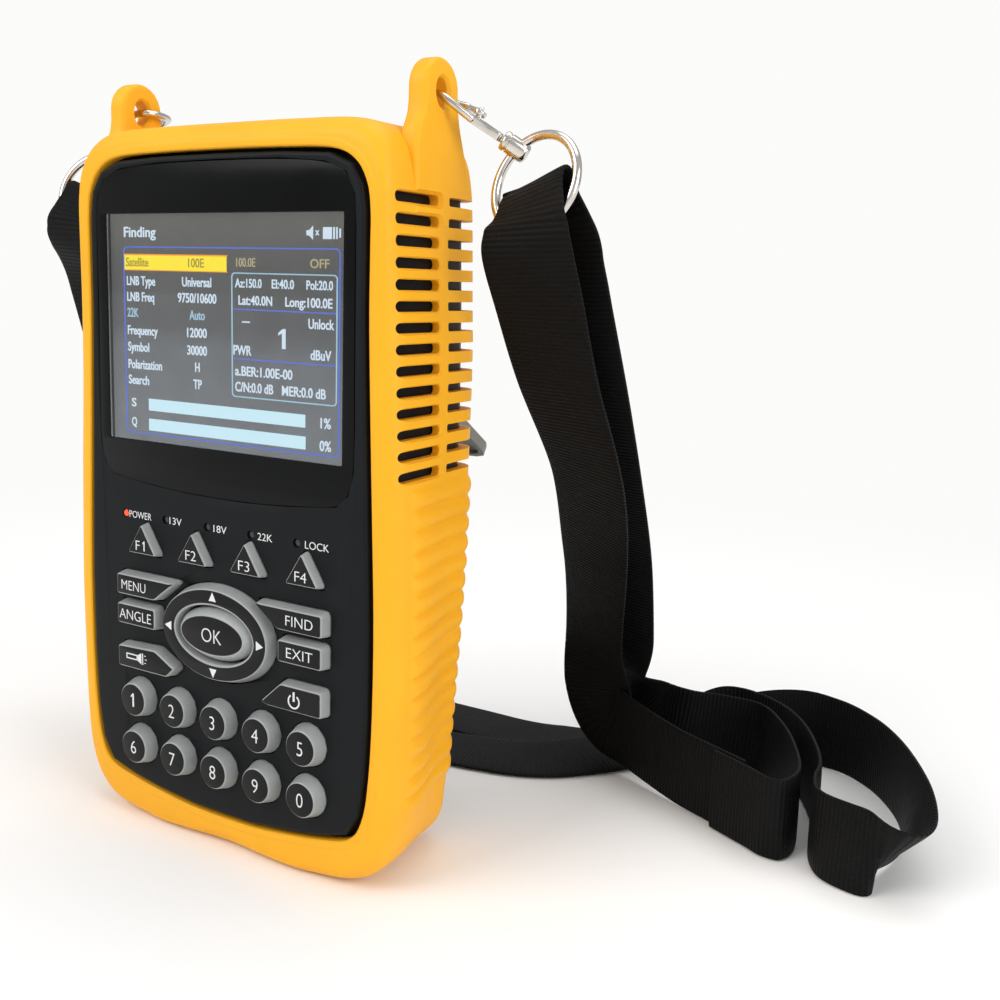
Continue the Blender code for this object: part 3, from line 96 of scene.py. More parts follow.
def add_piece(name, mesh, material, body, sharp=35.0):
    """Link a finished mesh as a piece that rides on a body, smooth except at edges sharper than an angle."""
    piece = bpy.data.objects.new(name, mesh)
    bpy.context.scene.collection.objects.link(piece)
    mesh.materials.clear()
    mesh.materials.append(material)
    mesh.shade_smooth()
    if sharp < 180:
        mesh.set_sharp_from_angle(angle=math.radians(sharp))
    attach(piece, body)
    return piece


def tidy(mesh, weld=1e-6):
    """Merge doubled points and turn every face outwards."""
    work = bmesh.new()
    work.from_mesh(mesh)
    bmesh.ops.remove_doubles(work, verts=work.verts, dist=weld)
    bmesh.ops.recalc_face_normals(work, faces=work.faces)
    work.to_mesh(mesh)
    work.free()


def grid_mesh(name, points, round_rows=False, uv=None):
    """Mesh of a grid: quad (r, c) joins points (r, c), (r+1, c), (r+1, c+1) and (r, c+1)."""
    points = np.asarray(points, dtype=float)
    rows, columns = points.shape[:2]
    index = np.arange(rows * columns).reshape(rows, columns)
    over = index if round_rows else index[:-1]
    under = np.roll(index, -1, 0) if round_rows else index[1:]
    faces = np.stack([over, under, np.roll(under, -1, 1), np.roll(over, -1, 1)], -1).reshape(-1, 4).tolist()
    if not round_rows:
        faces += [index[0].tolist(), index[-1].tolist()]
    mesh = bpy.data.meshes.new(name)
    mesh.from_pydata(points.reshape(-1, 3).tolist(), [], faces)
    if uv is not None:
        layer = mesh.uv_layers.new(name="along")
        corner = np.empty(len(mesh.loops), dtype=int)
        mesh.loops.foreach_get("vertex_index", corner)
        layer.data.foreach_set("uv", np.asarray(uv, dtype=float).reshape(-1, 2)[corner].ravel())
    tidy(mesh)
    return mesh


# %% [markdown]
# ## Curves and wire
#
# A few chosen points give a smooth path through all of them. A circle carried along the path
# makes wire. Its direction is passed on from step to step, so the wire doesn't twist.

# %% Curve and wire helpers
def spline_between(a, b, c, d, t):
    """Catmull-Rom cubic from b to c, with a before them and d after them."""
    return 0.5 * (2 * b + (c - a) * t + (2 * a - 5 * b + 4 * c - d) * t ** 2
                  + (3 * b - a - 3 * c + d) * t ** 3)


def curve_through(points, steps):
    """Catmull-Rom curve: each span is a cubic whose slopes are half the step between its neighbours."""
    rows = np.asarray(points, dtype=float)
    rows = np.vstack([2 * rows[0] - rows[1], rows, 2 * rows[-1] - rows[-2]])
    a, b, c, d = rows[:-3, None], rows[1:-2, None], rows[2:-1, None], rows[3:, None]
    t = (np.arange(steps) / steps)[None, :, None]
    out = spline_between(a, b, c, d, t)
    return np.vstack([out.reshape(-1, rows.shape[1]), rows[-2:-1]])


def tube_points(path, radius, sides=16, closed=False):
    """Circles of a radius on the normal planes of a path: p + r (cos a n + sin a b)."""
    path = np.asarray(path, dtype=float)
    step = (np.roll(path, -1, 0) - np.roll(path, 1, 0)) if closed else np.gradient(path, axis=0)
    along = unit(step)
    normal = np.empty_like(along)
    guide = np.cross(along[0], (0.3, 0.9, 0.31))
    for place, direction in enumerate(along):
        guide = guide - guide.dot(direction) * direction
        guide = guide / np.linalg.norm(guide)
        normal[place] = guide
    side = np.cross(along, normal)
    turn = np.linspace(0, math.tau, sides, endpoint=False)[None, :, None]
    wide = np.broadcast_to(np.asarray(radius, dtype=float), (len(path),))[:, None, None]
    return path[:, None] + wide * (np.cos(turn) * normal[:, None] + np.sin(turn) * side[:, None])


# %% [markdown]
# ## Outlines and plates
#
# Keys, the lens and the signs on the screen are flat. Their outlines are loops in x and z, and a
# filled curve with an eased edge turns a set of loops into a plate. An inner loop is a hole.

# %% Outlines
def box_outline(left, right, bottom, top, radius, steps=6):
    """Rectangle with quarter circles at its corners."""
    corners = (((left + radius, top - radius), 180), ((right - radius, top - radius), 90),
               ((right - radius, bottom + radius), 0), ((left + radius, bottom + radius), -90))
    out = []
    for (x, z), start in corners:
        turn = np.radians(np.linspace(start, start - 90, steps + 1))
        out.append(np.stack([x + radius * np.cos(turn), z + radius * np.sin(turn)], 1))
    return np.vstack(out)


def ellipse(centre, half_width, half_height, steps=48):
    """Points c + (a cos t, b sin t), clockwise."""
    turn = np.linspace(math.tau, 0, steps, endpoint=False)
    return np.stack([centre[0] + half_width * np.cos(turn), centre[1] + half_height * np.sin(turn)], 1)


def softened(corners, radius, steps=6):
    """Polygon whose corners are short quadratic curves."""
    corners = np.asarray(corners, dtype=float)
    share = np.linspace(0, 1, steps + 1)[None, :, None]
    before = unit(np.roll(corners, 1, 0) - corners)[:, None] * radius
    after = unit(np.roll(corners, -1, 0) - corners)[:, None] * radius
    here = corners[:, None]
    start, end = here + before, here + after
    return ((1 - share) ** 2 * start + 2 * share * (1 - share) * here + share ** 2 * end).reshape(-1, 2)


def drawn_in(outline, distance):
    """Clockwise outline moved inwards along its corner bisectors."""
    before = unit(outline - np.roll(outline, 1, 0))
    after = np.roll(before, -1, 0)
    inward = np.stack([before[:, 1] + after[:, 1], -before[:, 0] - after[:, 0]], 1)
    spread = 1 + np.sum(before * after, axis=1)
    return outline + distance * inward / spread[:, None]


# %% [markdown]
# A curve or a text lies in the floor's plane when it is new. It is made a mesh first, and then
# stood up at its depth behind the face, so that its place is in its points.

# %% Plates
def facing(depth):
    """Matrix that stands a flat drawing up, facing forwards, at a depth behind the face."""
    return Matrix.Translation((0, FACE + depth, 0)) @ Matrix.Rotation(math.pi / 2, 4, "X")


def mesh_of(name, drawing):
    """Mesh of a curve or a text, by way of an object that is then removed."""
    holder = bpy.data.objects.new(name, drawing)
    bpy.context.scene.collection.objects.link(holder)
    mesh = bpy.data.meshes.new_from_object(holder.evaluated_get(bpy.context.evaluated_depsgraph_get()))
    bpy.data.objects.remove(holder)
    return mesh


def plate(name, outlines, low, high, material, body, bevel=0.0, sharp=35.0, slot=None):
    """Flat plate from outlines in x and z, from one depth behind the face to another, with holes."""
    curve = bpy.data.curves.new(name, "CURVE")
    curve.dimensions, curve.fill_mode = "2D", "BOTH"
    curve.extrude = (high - low) / 2 - bevel
    curve.bevel_depth, curve.bevel_resolution, curve.offset = bevel, 2, -bevel
    for outline in outlines:
        spline = curve.splines.new("POLY")
        spline.points.add(len(outline) - 1)
        rows = np.column_stack([outline, np.zeros(len(outline)), np.ones(len(outline))])
        spline.points.foreach_set("co", rows.ravel())
        spline.use_cyclic_u = True
    mesh = mesh_of(name, curve)
    mesh.transform(facing((low + high) / 2))
    tidy(mesh)
    return add_piece(name, mesh, material, body, sharp)


# %% [markdown]
# ## Finishes
#
# A material starts from one Principled shader. Noise on Object coordinates gives fine grain for
# bump and a slow drift of colour and gloss, so that no surface is one flat colour. Moulded rubber
# is satin with a fine grain, the case is matte plastic, and the webbing gets its ribs from a UV
# map that runs along the band.

# %% Material helpers
def node(made, kind, inputs=(), **settings):
    """Add a node, set its properties, and set or link its inputs by name or number."""
    here = made.node_tree.nodes.new(kind)
    for key, value in settings.items():
        setattr(here, key, value)
    for socket, value in dict(inputs).items():
        if isinstance(value, bpy.types.NodeSocket):
            made.node_tree.links.new(value, here.inputs[socket])
        else:
            here.inputs[socket].default_value = value
    return here


def finish(name, colour, roughness, metallic=0.0, **sockets):
    """Principled material with its plain values; returns the material and its shader."""
    made = bpy.data.materials.new(name)
    made.use_nodes = True
    shader = made.node_tree.nodes["Principled BSDF"]
    shader.inputs["Base Color"].default_value = (*colour, 1)
    shader.inputs["Roughness"].default_value = roughness
    shader.inputs["Metallic"].default_value = metallic
    for socket, value in sockets.items():
        shader.inputs[socket.replace("_", " ")].default_value = value
    made.diffuse_color = (*colour, 1)
    return made, shader


def grain(made, shader, scale, height, strength):
    """Fine bump from noise on Object coordinates."""
    place = node(made, "ShaderNodeTexCoord").outputs["Object"]
    noise = node(made, "ShaderNodeTexNoise", {"Vector": place, "Scale": scale, "Detail": 3.0})
    bump = node(made, "ShaderNodeBump",
                {"Height": noise.outputs["Fac"], "Distance": height, "Strength": strength})
    made.node_tree.links.new(bump.outputs["Normal"], shader.inputs["Normal"])


def drift(made, shader, low, high, scale, gloss):
    """Slow change between two colours, and between two roughnesses, by a large noise."""
    place = node(made, "ShaderNodeTexCoord").outputs["Object"]
    noise = node(made, "ShaderNodeTexNoise",
                 {"Vector": place, "Scale": scale, "Detail": 4.0, "Roughness": 0.6})
    ramp = node(made, "ShaderNodeValToRGB", {"Fac": noise.outputs["Fac"]})
    ramp.color_ramp.elements[0].position, ramp.color_ramp.elements[1].position = 0.35, 0.65
    ramp.color_ramp.elements[0].color = (*low, 1)
    ramp.color_ramp.elements[1].color = (*high, 1)
    made.node_tree.links.new(ramp.outputs["Color"], shader.inputs["Base Color"])
    spread = node(made, "ShaderNodeMapRange", {"Value": noise.outputs["Fac"], "From Min": 0.3,
                                               "From Max": 0.7, "To Min": gloss[0], "To Max": gloss[1]})
    made.node_tree.links.new(spread.outputs["Result"], shader.inputs["Roughness"])


def plain(name, low, high, roughness, scale=60, bump=(2500, 0.00003, 0.35), metallic=0.0, **sockets):
    """Finish with a drift of colour, a spread of gloss and a grain."""
    made, shader = finish(name, high, roughness, metallic, **sockets)
    drift(made, shader, low, high, scale, (roughness - 0.05, roughness + 0.05))
    grain(made, shader, *bump)
    return made


# %% [markdown]
# Each line gives a finish its darker and lighter colour, its roughness, the scale of the drift
# and the grain's scale, height and strength. The boot's satin rubber and the black plastics keep
# a low specular level, because the photograph shows spread light and no sharp gloss on them.

# %% Finishes of the rigid pieces
rubber = plain("yellow_rubber", (0.86, 0.395, 0.012), (0.91, 0.43, 0.016), 0.46, 35, (3200, 0.00002, 0.4),
               Specular_IOR_Level=0.22)
panel_black = plain("panel_black", (0.0055, 0.0063, 0.0072), (0.0075, 0.0085, 0.0095), 0.5, 45,
                    (4200, 0.00002, 0.5), Specular_IOR_Level=0.13)
case_grey = plain("case_grey", (0.010, 0.0105, 0.0105), (0.015, 0.0155, 0.0155), 0.52, 50,
                  (3000, 0.00003, 0.5), Specular_IOR_Level=0.3)
stand_grey = plain("stand_grey", (0.15, 0.153, 0.13), (0.19, 0.19, 0.165), 0.5, 50, (3000, 0.00002, 0.4))
key_grey = plain("key_grey", (0.30, 0.315, 0.31), (0.35, 0.365, 0.36), 0.4, 90, (3500, 0.00001, 0.3))
key_black = plain("key_black", (0.0022, 0.0024, 0.0026), (0.0034, 0.0036, 0.0038), 0.36, 90,
                  (3500, 0.00001, 0.3), Specular_IOR_Level=0.22)
legend_white = plain("legend_white", (0.66, 0.67, 0.67), (0.74, 0.75, 0.75), 0.5, 400, (4000, 0.00001, 0.2))
lens_black = plain("lens_black", (0.0028, 0.003, 0.0034), (0.0036, 0.004, 0.0044), 0.14, 30,
                   (30, 0.00001, 0.1), Specular_IOR_Level=0.12)
lamp_dark = plain("lamp_dark", (0.02, 0.021, 0.02), (0.03, 0.031, 0.03), 0.2, 100)
board_green = plain("board_green", (0.006, 0.07, 0.03), (0.012, 0.12, 0.05), 0.4, 300)
soft_mat = plain("soft_mat", (0.25, 0.26, 0.26), (0.32, 0.33, 0.33), 0.7, 100)
battery_wrap = plain("battery_wrap", (0.03, 0.09, 0.24), (0.05, 0.13, 0.32), 0.35, 60)
light_guide = plain("light_guide", (0.34, 0.34, 0.33), (0.42, 0.42, 0.41), 0.2, 100)
steel = plain("bright_steel", (0.62, 0.58, 0.53), (0.74, 0.70, 0.65), 0.17, 260, (900, 0.00002, 0.25), 1.0)
nickel = plain("nickel", (0.52, 0.50, 0.46), (0.62, 0.60, 0.56), 0.25, 200, (1200, 0.00002, 0.25), 1.0)
port_black = plain("port_black", (0.012, 0.012, 0.012), (0.018, 0.018, 0.018), 0.4, 100)
print("finishes so far", len(bpy.data.materials))

# %% [markdown]
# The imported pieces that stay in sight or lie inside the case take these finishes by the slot
# that the record gives them. Their meshes aren't touched.

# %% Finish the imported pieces
slot_finish = {
    "yellow_rubber": rubber, "black_case": panel_black, "grey_case": case_grey, "clear_lens": lens_black,
    "screen_glass": port_black, "key_plastic": key_grey, "soft_mat": soft_mat, "board_green": board_green,
    "light_pipe": light_guide, "bright_steel": steel, "nickel": nickel, "battery_wrap": battery_wrap,
    "webbing": port_black,
}
for subpart in frame["record"]["subparts"]:
    shown = frame["nodes"][subpart["node"]]
    shown.data.materials.clear()
    shown.data.materials.append(slot_finish[subpart["material_slot"]])
frame["nodes"]["kickstand"].data.materials[0] = stand_grey
frame["nodes"]["light_bar"].data.materials[0] = lamp_dark

# %% [markdown]
# ## The strap
#
# The neck strap is flat black webbing. Each length is a band carried along a route: at every
# point of a smooth curve stands one section, whose width follows a direction across the band.
# The section is a flat loop with round selvedges, and a UV map that measures the band in widths
# gives the weave its scale, so the ribs follow every twist. A cloth simulation could lay such a
# band too. Here it follows chosen points, so that its loops lie where the photograph has them.

# %% Webbing finish
RIB_PITCH = 0.0011
STRAP_WIDTH = 0.0206
STRAP_THICKNESS = 0.0011
WARP_THREADS = 34


def webbing_finish():
    """Black webbing: ribs across the band, a twill along them, and rib crests painted lighter than the
    grooves as painted highlight and shade, with a slow random tone.
    """
    made, shader = finish("webbing", (0.006, 0.006, 0.006), 0.55, Specular_IOR_Level=0.10,
                          Sheen_Weight=0.01, Sheen_Roughness=0.4)
    uv = node(made, "ShaderNodeUVMap", uv_map="along").outputs["UV"]
    split = node(made, "ShaderNodeSeparateXYZ", {"Vector": uv})
    across, along = split.outputs["X"], split.outputs["Y"]
    ribs = node(made, "ShaderNodeMath", {0: along, 1: math.tau / RIB_PITCH * STRAP_WIDTH},
                operation="MULTIPLY")
    ribs = node(made, "ShaderNodeMath", {0: ribs.outputs[0]}, operation="SINE")
    warp = node(made, "ShaderNodeMath", {0: across, 1: math.tau * WARP_THREADS}, operation="MULTIPLY")
    warp = node(made, "ShaderNodeMath", {0: warp.outputs[0]}, operation="SINE")
    weave = node(made, "ShaderNodeMath", {0: warp.outputs[0], 1: 0.35, 2: ribs.outputs[0]},
                 operation="MULTIPLY_ADD")
    place = node(made, "ShaderNodeTexCoord").outputs["Object"]
    fuzz = node(made, "ShaderNodeTexNoise", {"Vector": place, "Scale": 2600.0, "Detail": 3.0})
    weave = node(made, "ShaderNodeMath", {0: fuzz.outputs["Fac"], 1: 1.2, 2: weave.outputs[0]},
                 operation="MULTIPLY_ADD")
    bump = node(made, "ShaderNodeBump", {"Height": weave.outputs[0], "Distance": 0.00011, "Strength": 0.7})
    made.node_tree.links.new(bump.outputs["Normal"], shader.inputs["Normal"])
    # The colour follows the weave's height: crests are painted lighter and grooves darker, a painted
    # highlight and shade; the slow noise adds a random tone.
    wear = node(made, "ShaderNodeTexNoise", {"Vector": place, "Scale": 70.0, "Detail": 5.0})
    crest_highlight_and_tone = node(made, "ShaderNodeMath", {0: weave.outputs[0], 1: 0.35, 2: wear.outputs["Fac"]},
                 operation="MULTIPLY_ADD")
    ramp = node(made, "ShaderNodeValToRGB", {"Fac": crest_highlight_and_tone.outputs[0]})
    ramp.color_ramp.elements[0].color = (0.0009, 0.0009, 0.001, 1)
    ramp.color_ramp.elements[1].color = (0.0052, 0.0052, 0.0051, 1)
    made.node_tree.links.new(ramp.outputs["Color"], shader.inputs["Base Color"])
    return made


webbing = webbing_finish()
print("ribs across one width of the band", round(STRAP_WIDTH / RIB_PITCH, 1))

# %% [markdown]
# Each row is a place in millimetres and a direction across the band. The rows are those of the
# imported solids, apart from the left band's second end, which lies behind the boot and stops 14 mm
# sooner here. Each band goes through its ring, and its width shrinks there by up to a fifth.

# %% Routes of the two lengths
RIGHT_ROUTE = np.array((
    (94.2, 58.6, 10.6, 0.2, -0.1, 1), (104.5, 53.6, 10.6, 0, 0, 1), (110.5, 50.4, 10.6, 0.05, -0.05, 1),
    (114.4, 51.6, 10.6, 0, 0, 1), (115.2, 60, 10.6, 0, 0, 1), (110.5, 73, 10.7, 0, 0, 1),
    (103.5, 86, 10.9, 0, 0, 1), (95, 95.5, 11.2, 0, 0, 1), (85, 94, 12, 0, 0.05, 1),
    (75, 89.4, 13.1, 0, 0.05, 1), (65, 89, 15.4, 0.25, 0, 0.95), (56.5, 86.5, 26, 0.72, -0.5, 0.3),
    (57.5, 81, 40, 0.93, -0.1, 0), (60, 70, 62, 0.97, -0.08, 0.1), (65, 48, 88, 0.97, -0.1, 0.15),
    (68.6, 27, 114, 0.95, -0.12, 0.25), (69.3, 14.3, 134, 0.94, -0.1, 0.31),
    (69.3, 10.6, 142, 0.93, -0.12, 0.33), (68.8, 8.6, 147, 0.92, -0.14, 0.35),
    (67.7, 8, 150.8, 0.9, -0.14, 0.36), (66.6, 7.5, 154, 0.9, -0.13, 0.37),
    (66.2, 5.7, 155.8, 0.9, -0.12, 0.37), (66.2, 3.6, 154, 0.9, -0.1, 0.37),
    (66.9, 1.5, 150.5, 0.92, -0.08, 0.36), (67.2, -0.1, 146.5, 0.93, -0.04, 0.35),
    (67.4, 0.6, 141, 0.94, -0.06, 0.33), (67.4, 6.3, 131, 0.94, -0.12, 0.3), (66.5, 18, 114, 0.9, -0.18, 0.2),
    (65.5, 38, 89, 0.8, -0.3, 0.15), (59, 58, 64, 0.75, -0.35, 0.2), (53, 73, 38, 0.72, -0.3, 0.1),
    (52, 78.5, 24, 0.6, -0.15, 0.6), (55, 79, 14.8, 0.3, 0, 0.95), (63, 75.2, 13, 0, 0, 1),
    (81, 66.4, 10.9, 0, 0, 1), (94, 60.7, 10.6, 0, 0, 1), (103, 56.4, 10.6, 0, 0, 1),
), dtype=float)
LEFT_ROUTE = np.array((
    (-14, 82.5, 0.9, 0, 1, 0), (10, 83, 0.9, 0, 1, -0.02), (24, 82.7, 0.9, -0.05, 0.98, 0),
    (36, 85.5, 0.9, -0.3, 0.9, 0), (50, 93, 0.95, -0.4, 0.9, 0.02), (72, 112, 4.6, -0.35, 0.88, 0.3),
    (95, 116.5, 9.1, -0.15, 0.55, 0.82), (111, 113.5, 10.5, 0, 0.1, 1), (122, 106.5, 10.6, 0, 0, 1),
    (130.5, 96, 10.6, 0, 0, 1), (137, 83, 10.6, 0.1, -0.1, 1), (141, 68, 10.5, 0.35, -0.3, 0.9),
    (141.5, 54.5, 10.1, 0.6, -0.3, 0.75), (138.6, 46.4, 10.5, 0.6, -0.1, 0.75),
    (131.5, 46.3, 10.5, 0.3, 0, 0.95), (123.5, 49.5, 10.6, 0, 0, 1), (119.8, 57, 10.6, 0, 0, 1),
    (118.5, 67, 10.6, 0, 0, 1), (113.5, 80, 10.6, 0, 0, 1), (106.5, 92.5, 10.6, 0, 0, 1),
    (98, 101.5, 10.6, 0, 0, 1), (86, 106.2, 10.6, 0, 0.1, 1), (75, 104, 8.2, -0.3, 0.75, 0.6),
    (66, 97.6, 3.2, -0.5, 0.84, 0.2), (57.5, 86, 2.6, -0.55, 0.83, 0.12), (50, 77, 2, -0.5, 0.86, 0.1),
    (39, 67.5, 1.7, -0.3, 0.94, 0.08), (24, 63, 1.4, -0.1, 1, 0.04), (4, 61, 1, 0, 1, 0),
    (-22, 60, 2, 0.1, 0.98, 0), (-44, 55, 10, 0.6, 0.75, 0.1), (-58, 42, 38, 0.85, 0.45, 0),
    (-66.5, 21, 84, 0.93, 0.25, -0.15), (-66.8, 12, 114, 0.94, 0.16, -0.25),
    (-67.4, 6.3, 131, 0.94, 0.12, -0.3), (-67.4, 0.6, 141, 0.94, 0.06, -0.33),
    (-67.2, -0.1, 146.5, 0.93, 0.04, -0.35), (-66.9, 1.5, 150.5, 0.92, 0.08, -0.36),
    (-66.2, 3.6, 154, 0.9, 0.1, -0.37), (-66.2, 5.7, 155.8, 0.9, 0.12, -0.37),
    (-66.6, 7.5, 154, 0.9, 0.13, -0.37), (-67.7, 8, 150.8, 0.9, 0.14, -0.36),
    (-68.8, 8.6, 147, 0.92, 0.14, -0.35), (-69.3, 10.6, 142, 0.93, 0.12, -0.33),
    (-69.3, 14.3, 134, 0.94, 0.1, -0.31), (-70, 30, 104, 0.95, 0.2, -0.2), (-68, 52, 62, 0.93, 0.35, -0.1),
    (-60, 74, 24, 0.85, 0.5, 0), (-44, 81.5, 7, 0.6, 0.8, 0), (-24, 83, 3.2, 0.2, 0.98, 0),
    (-14, 82.5, 2.8, 0, 1, 0), (-10, 82.5, 2.8, 0, 1, 0),
), dtype=float)
RING_PLACE = np.array([0.066, 0.0058, 0.1556])
RING_SQUEEZE = 0.009
SQUEEZE_SHARE = 0.19


def strap_frame(route, side, steps):
    """Middle line, direction across, direction out of the face, and half width at each sample."""
    rows = curve_through(route, steps)
    middle = rows[:, :3] * MM
    along = unit(np.gradient(middle, axis=0))
    across = rows[:, 3:]
    across = unit(across - np.sum(across * along, axis=1, keepdims=True) * along)
    away = np.linalg.norm(middle - RING_PLACE * (side, 1, 1), axis=1)
    half = STRAP_WIDTH / 2 * (1 - SQUEEZE_SHARE * np.exp(-(away / RING_SQUEEZE) ** 4))
    return middle, across, np.cross(along, across), half


def make_strap(name, route, side):
    """Band whose section is a flat loop: width w cos a, thickness t sin a pressed flat by a power."""
    middle, across, out, half = strap_frame(route, side, 12)
    turn = np.linspace(0, math.tau, 28, endpoint=False)
    wide = np.sign(np.cos(turn)) * np.abs(np.cos(turn)) ** 0.35
    thick = np.sign(np.sin(turn)) * np.abs(np.sin(turn)) ** 0.35 * STRAP_THICKNESS / 2
    points = (middle[:, None] + wide[None, :, None] * (across * half[:, None])[:, None]
              + thick[None, :, None] * out[:, None])
    travelled = np.concatenate([[0], np.cumsum(np.linalg.norm(np.diff(middle, axis=0), axis=1))])
    uv = np.stack(np.broadcast_arrays(wide[None] / 2 + 0.5, travelled[:, None] / STRAP_WIDTH), -1)
    strap = add_piece(name, grid_mesh(name, points, uv=uv), webbing, "meter", 50)
    print(name, "is", round(float(travelled[-1]), 3), "m long")
    return strap


for strap_name, route, side in (("right_strap_band", RIGHT_ROUTE, 1), ("left_strap_band", LEFT_ROUTE, -1)):
    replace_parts(make_strap(strap_name, route, side), strap_name.replace("_band", ""))

# %% [markdown]
# ## Rings, hooks and swivels
#
# The metal pieces are wire. Each hook is worked out in its own frame: one axis points from the
# ear's hole to the ring, and two lie across it. Points of the wire are given in millimetres in
# that frame. The left side is the right side with x turned over.

# %% Metal pieces of one side
RING_RADIUS, RING_WIRE, SWIVEL_TURN = 0.0106, 0.00102, math.radians(132)
HOOK_WIRE, PIN_WIRE, ROD_WIRE, EYE_BORE = 0.00086, 0.0005, 0.00075, 0.00062
HOOK_START = np.array([0.0442, 0.00005, 0.1742])
HOOK_BOW = ((-1.7, 0, 9.5), (-1.96, 0.4, 4.57), (-1.16, 0.5, 2.1), (0.13, 0, 0), (2.03, -1.53, -2.04),
            (5.08, -1.87, -1.4), (7.72, -1.25, 0.94), (8.17, 0, 3.9), (6.2, 1.1, 7.1))


def joined(name, grids):
    """One mesh from several closed grids."""
    work = bmesh.new()
    for points in grids:
        part = grid_mesh(name, points)
        work.from_mesh(part)
        bpy.data.meshes.remove(part)
    mesh = bpy.data.meshes.new(name)
    work.to_mesh(mesh)
    work.free()
    return mesh


def wire_with_ends(path, radius, sides=20):
    """Wire whose ends are half spheres: circles of radius r cos a, moved on by r sin a."""
    path = np.asarray(path, dtype=float)
    ends = np.radians((75, 55, 35, 18))
    start, finish_ = unit(path[0] - path[1]), unit(path[-1] - path[-2])
    rows = np.vstack([path[0] + radius * np.sin(ends)[:, None] * start, path,
                      path[-1] + radius * np.sin(ends[::-1])[:, None] * finish_])
    wide = np.concatenate([radius * np.cos(ends), np.full(len(path), radius), radius * np.cos(ends[::-1])])
    return tube_points(rows, wide, sides)


def turned(profile, sides=48):
    """Solid of revolution in the hook's frame: (r cos t, r sin t, h)."""
    radius, height = np.array(profile, dtype=float).T[:, :, None] * MM
    turn = np.linspace(0, math.tau, sides, endpoint=False)
    height = np.broadcast_to(height, (len(radius), sides))
    return np.stack([radius * np.cos(turn), radius * np.sin(turn), height], -1)


def bar_loop(left, right, bottom, top, radius, half, edge=0.25):
    """Rounded bar in the hook's frame, drawn in at its two faces."""
    rings = []
    for across, inset in ((-half, edge), (-half + 0.3 * edge, 0.3 * edge), (-half + edge, 0),
                          (half - edge, 0), (half - 0.3 * edge, 0.3 * edge), (half, edge)):
        loop = box_outline(left + inset, right - inset, bottom + inset, top - inset, radius - inset * 0.9, 8)
        rings.append(np.stack([loop[:, 0], np.full(len(loop), across), loop[:, 1]], 1))
    return np.array(rings) * MM


def metal_side(label, side):
    """Ring, hook, gate and swivel of one side; the hook and the gate ride on their own bodies."""
    mirror = np.array([side, 1, 1])
    axis = unit(np.array([-0.201, -0.938, 0.284]))
    level = unit(np.array([-axis[1], axis[0], 0]))
    up = np.cross(axis, level)
    around = np.linspace(0, math.tau, 112, endpoint=False)[:, None]
    circle = RING_PLACE + RING_RADIUS * (np.cos(around) * level + np.sin(around) * up)
    ring = tube_points(circle, RING_WIRE, 22, closed=True)
    mesh = grid_mesh(f"{label}_ring_wire", ring * mirror, round_rows=True)
    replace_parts(add_piece(f"{label}_ring_wire", mesh, steel, "meter", 180), f"{label}_ring")

    end = RING_PLACE + RING_RADIUS * (math.cos(SWIVEL_TURN) * level + math.sin(SWIVEL_TURN) * up)
    along = unit(end - HOOK_START)
    length = float(np.linalg.norm(end - HOOK_START)) / MM
    across = unit(np.array([-0.475, 0.863, 0.174]))
    across = unit(across - across.dot(along) * along)
    axes = np.array([across, np.cross(along, across), along])

    def placed(points):
        return (np.asarray(points) @ axes + HOOK_START) * mirror

    bow = curve_through(HOOK_BOW, 12) * MM
    shank_end = length - 4.1
    bar = bar_loop(-2.1, 2.1, 9.0, shank_end, 1.1, 0.85)
    stud = turned([(0.9, shank_end - 1.2), (0.9, shank_end + 1.6), (0.1, shank_end + 1.65)], 24)
    pin = np.array([(1.3, 0.4, 10.3), (1.3, 1.3, 10.3), (1.3, 2.6, 10.3)]) * MM
    slot = bar_loop(-0.8, 0.8, 12.0, shank_end - 1.8, 0.75, 1.4, 0.02)
    hook = with_booleans(f"{label}_hook_body", joined("bar_part", [placed(bar)]), [
        ("DIFFERENCE", gathered("bar_slot", [placed(slot)])),
        ("UNION", gathered("bow_part", [placed(wire_with_ends(bow, HOOK_WIRE))])),
        ("UNION", gathered("stud_part", [placed(stud)])),
        ("UNION", gathered("pin_part", [placed(wire_with_ends(pin, PIN_WIRE))])),
    ])
    tidy(hook)
    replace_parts(add_piece(f"{label}_hook_body", hook, steel, f"{label}_hook", 40),
                f"{label}_hook")

    eye = []
    for low, inset in ((1.15, 0.25), (1.22, 0.08), (1.4, 0), (2.1, 0), (2.28, 0.08), (2.35, 0.25)):
        loop = ellipse((1.3, 10.3), 1.5 - inset, 1.5 - inset, 32)
        eye.append(np.stack([loop[:, 0], np.full(len(loop), low), loop[:, 1]], 1))
    rod = np.array([(1.3, 1.75, 10.3), (2.3, 1.76, 9.65), (4.0, 1.4, 8.6), (5.5, 1.15, 7.7)]) * MM
    bore = tube_points(np.array([(1.3, 0.9, 10.3), (1.3, 2.7, 10.3)]) * MM, EYE_BORE, 20)
    gate = with_booleans(f"{label}_gate_body", joined("eye_part", [placed(np.array(eye) * MM)]), [
        ("UNION", gathered("rod_part", [placed(wire_with_ends(rod, ROD_WIRE))])),
        ("DIFFERENCE", gathered("bore_part", [placed(bore)])),
    ])
    tidy(gate)
    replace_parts(add_piece(f"{label}_gate_body", gate, steel, f"{label}_gate", 40),
                f"{label}_gate")

    low, high = length - 3.8, length + 2.4
    barrel = turned([(1.2, low + 0.9), (1.2, low + 0.02), (1.45, low), (1.9, low + 0.08),
                     (2.12, low + 0.3), (2.2, low + 0.6), (2.2, low + 1.1), (1.95, low + 1.25),
                     (1.95, low + 1.45), (2.2, low + 1.6), (2.22, high - 1.2), (2.1, high - 0.6),
                     (1.75, high - 0.15), (1.0, high + 0.02), (0.1, high + 0.05)])
    swivel = grid_mesh(f"{label}_swivel_body", placed(barrel))
    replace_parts(add_piece(f"{label}_swivel_body", swivel, steel, "meter", 50),
                f"{label}_swivel")
    print(label, "hook is", round(length, 2), "mm long")


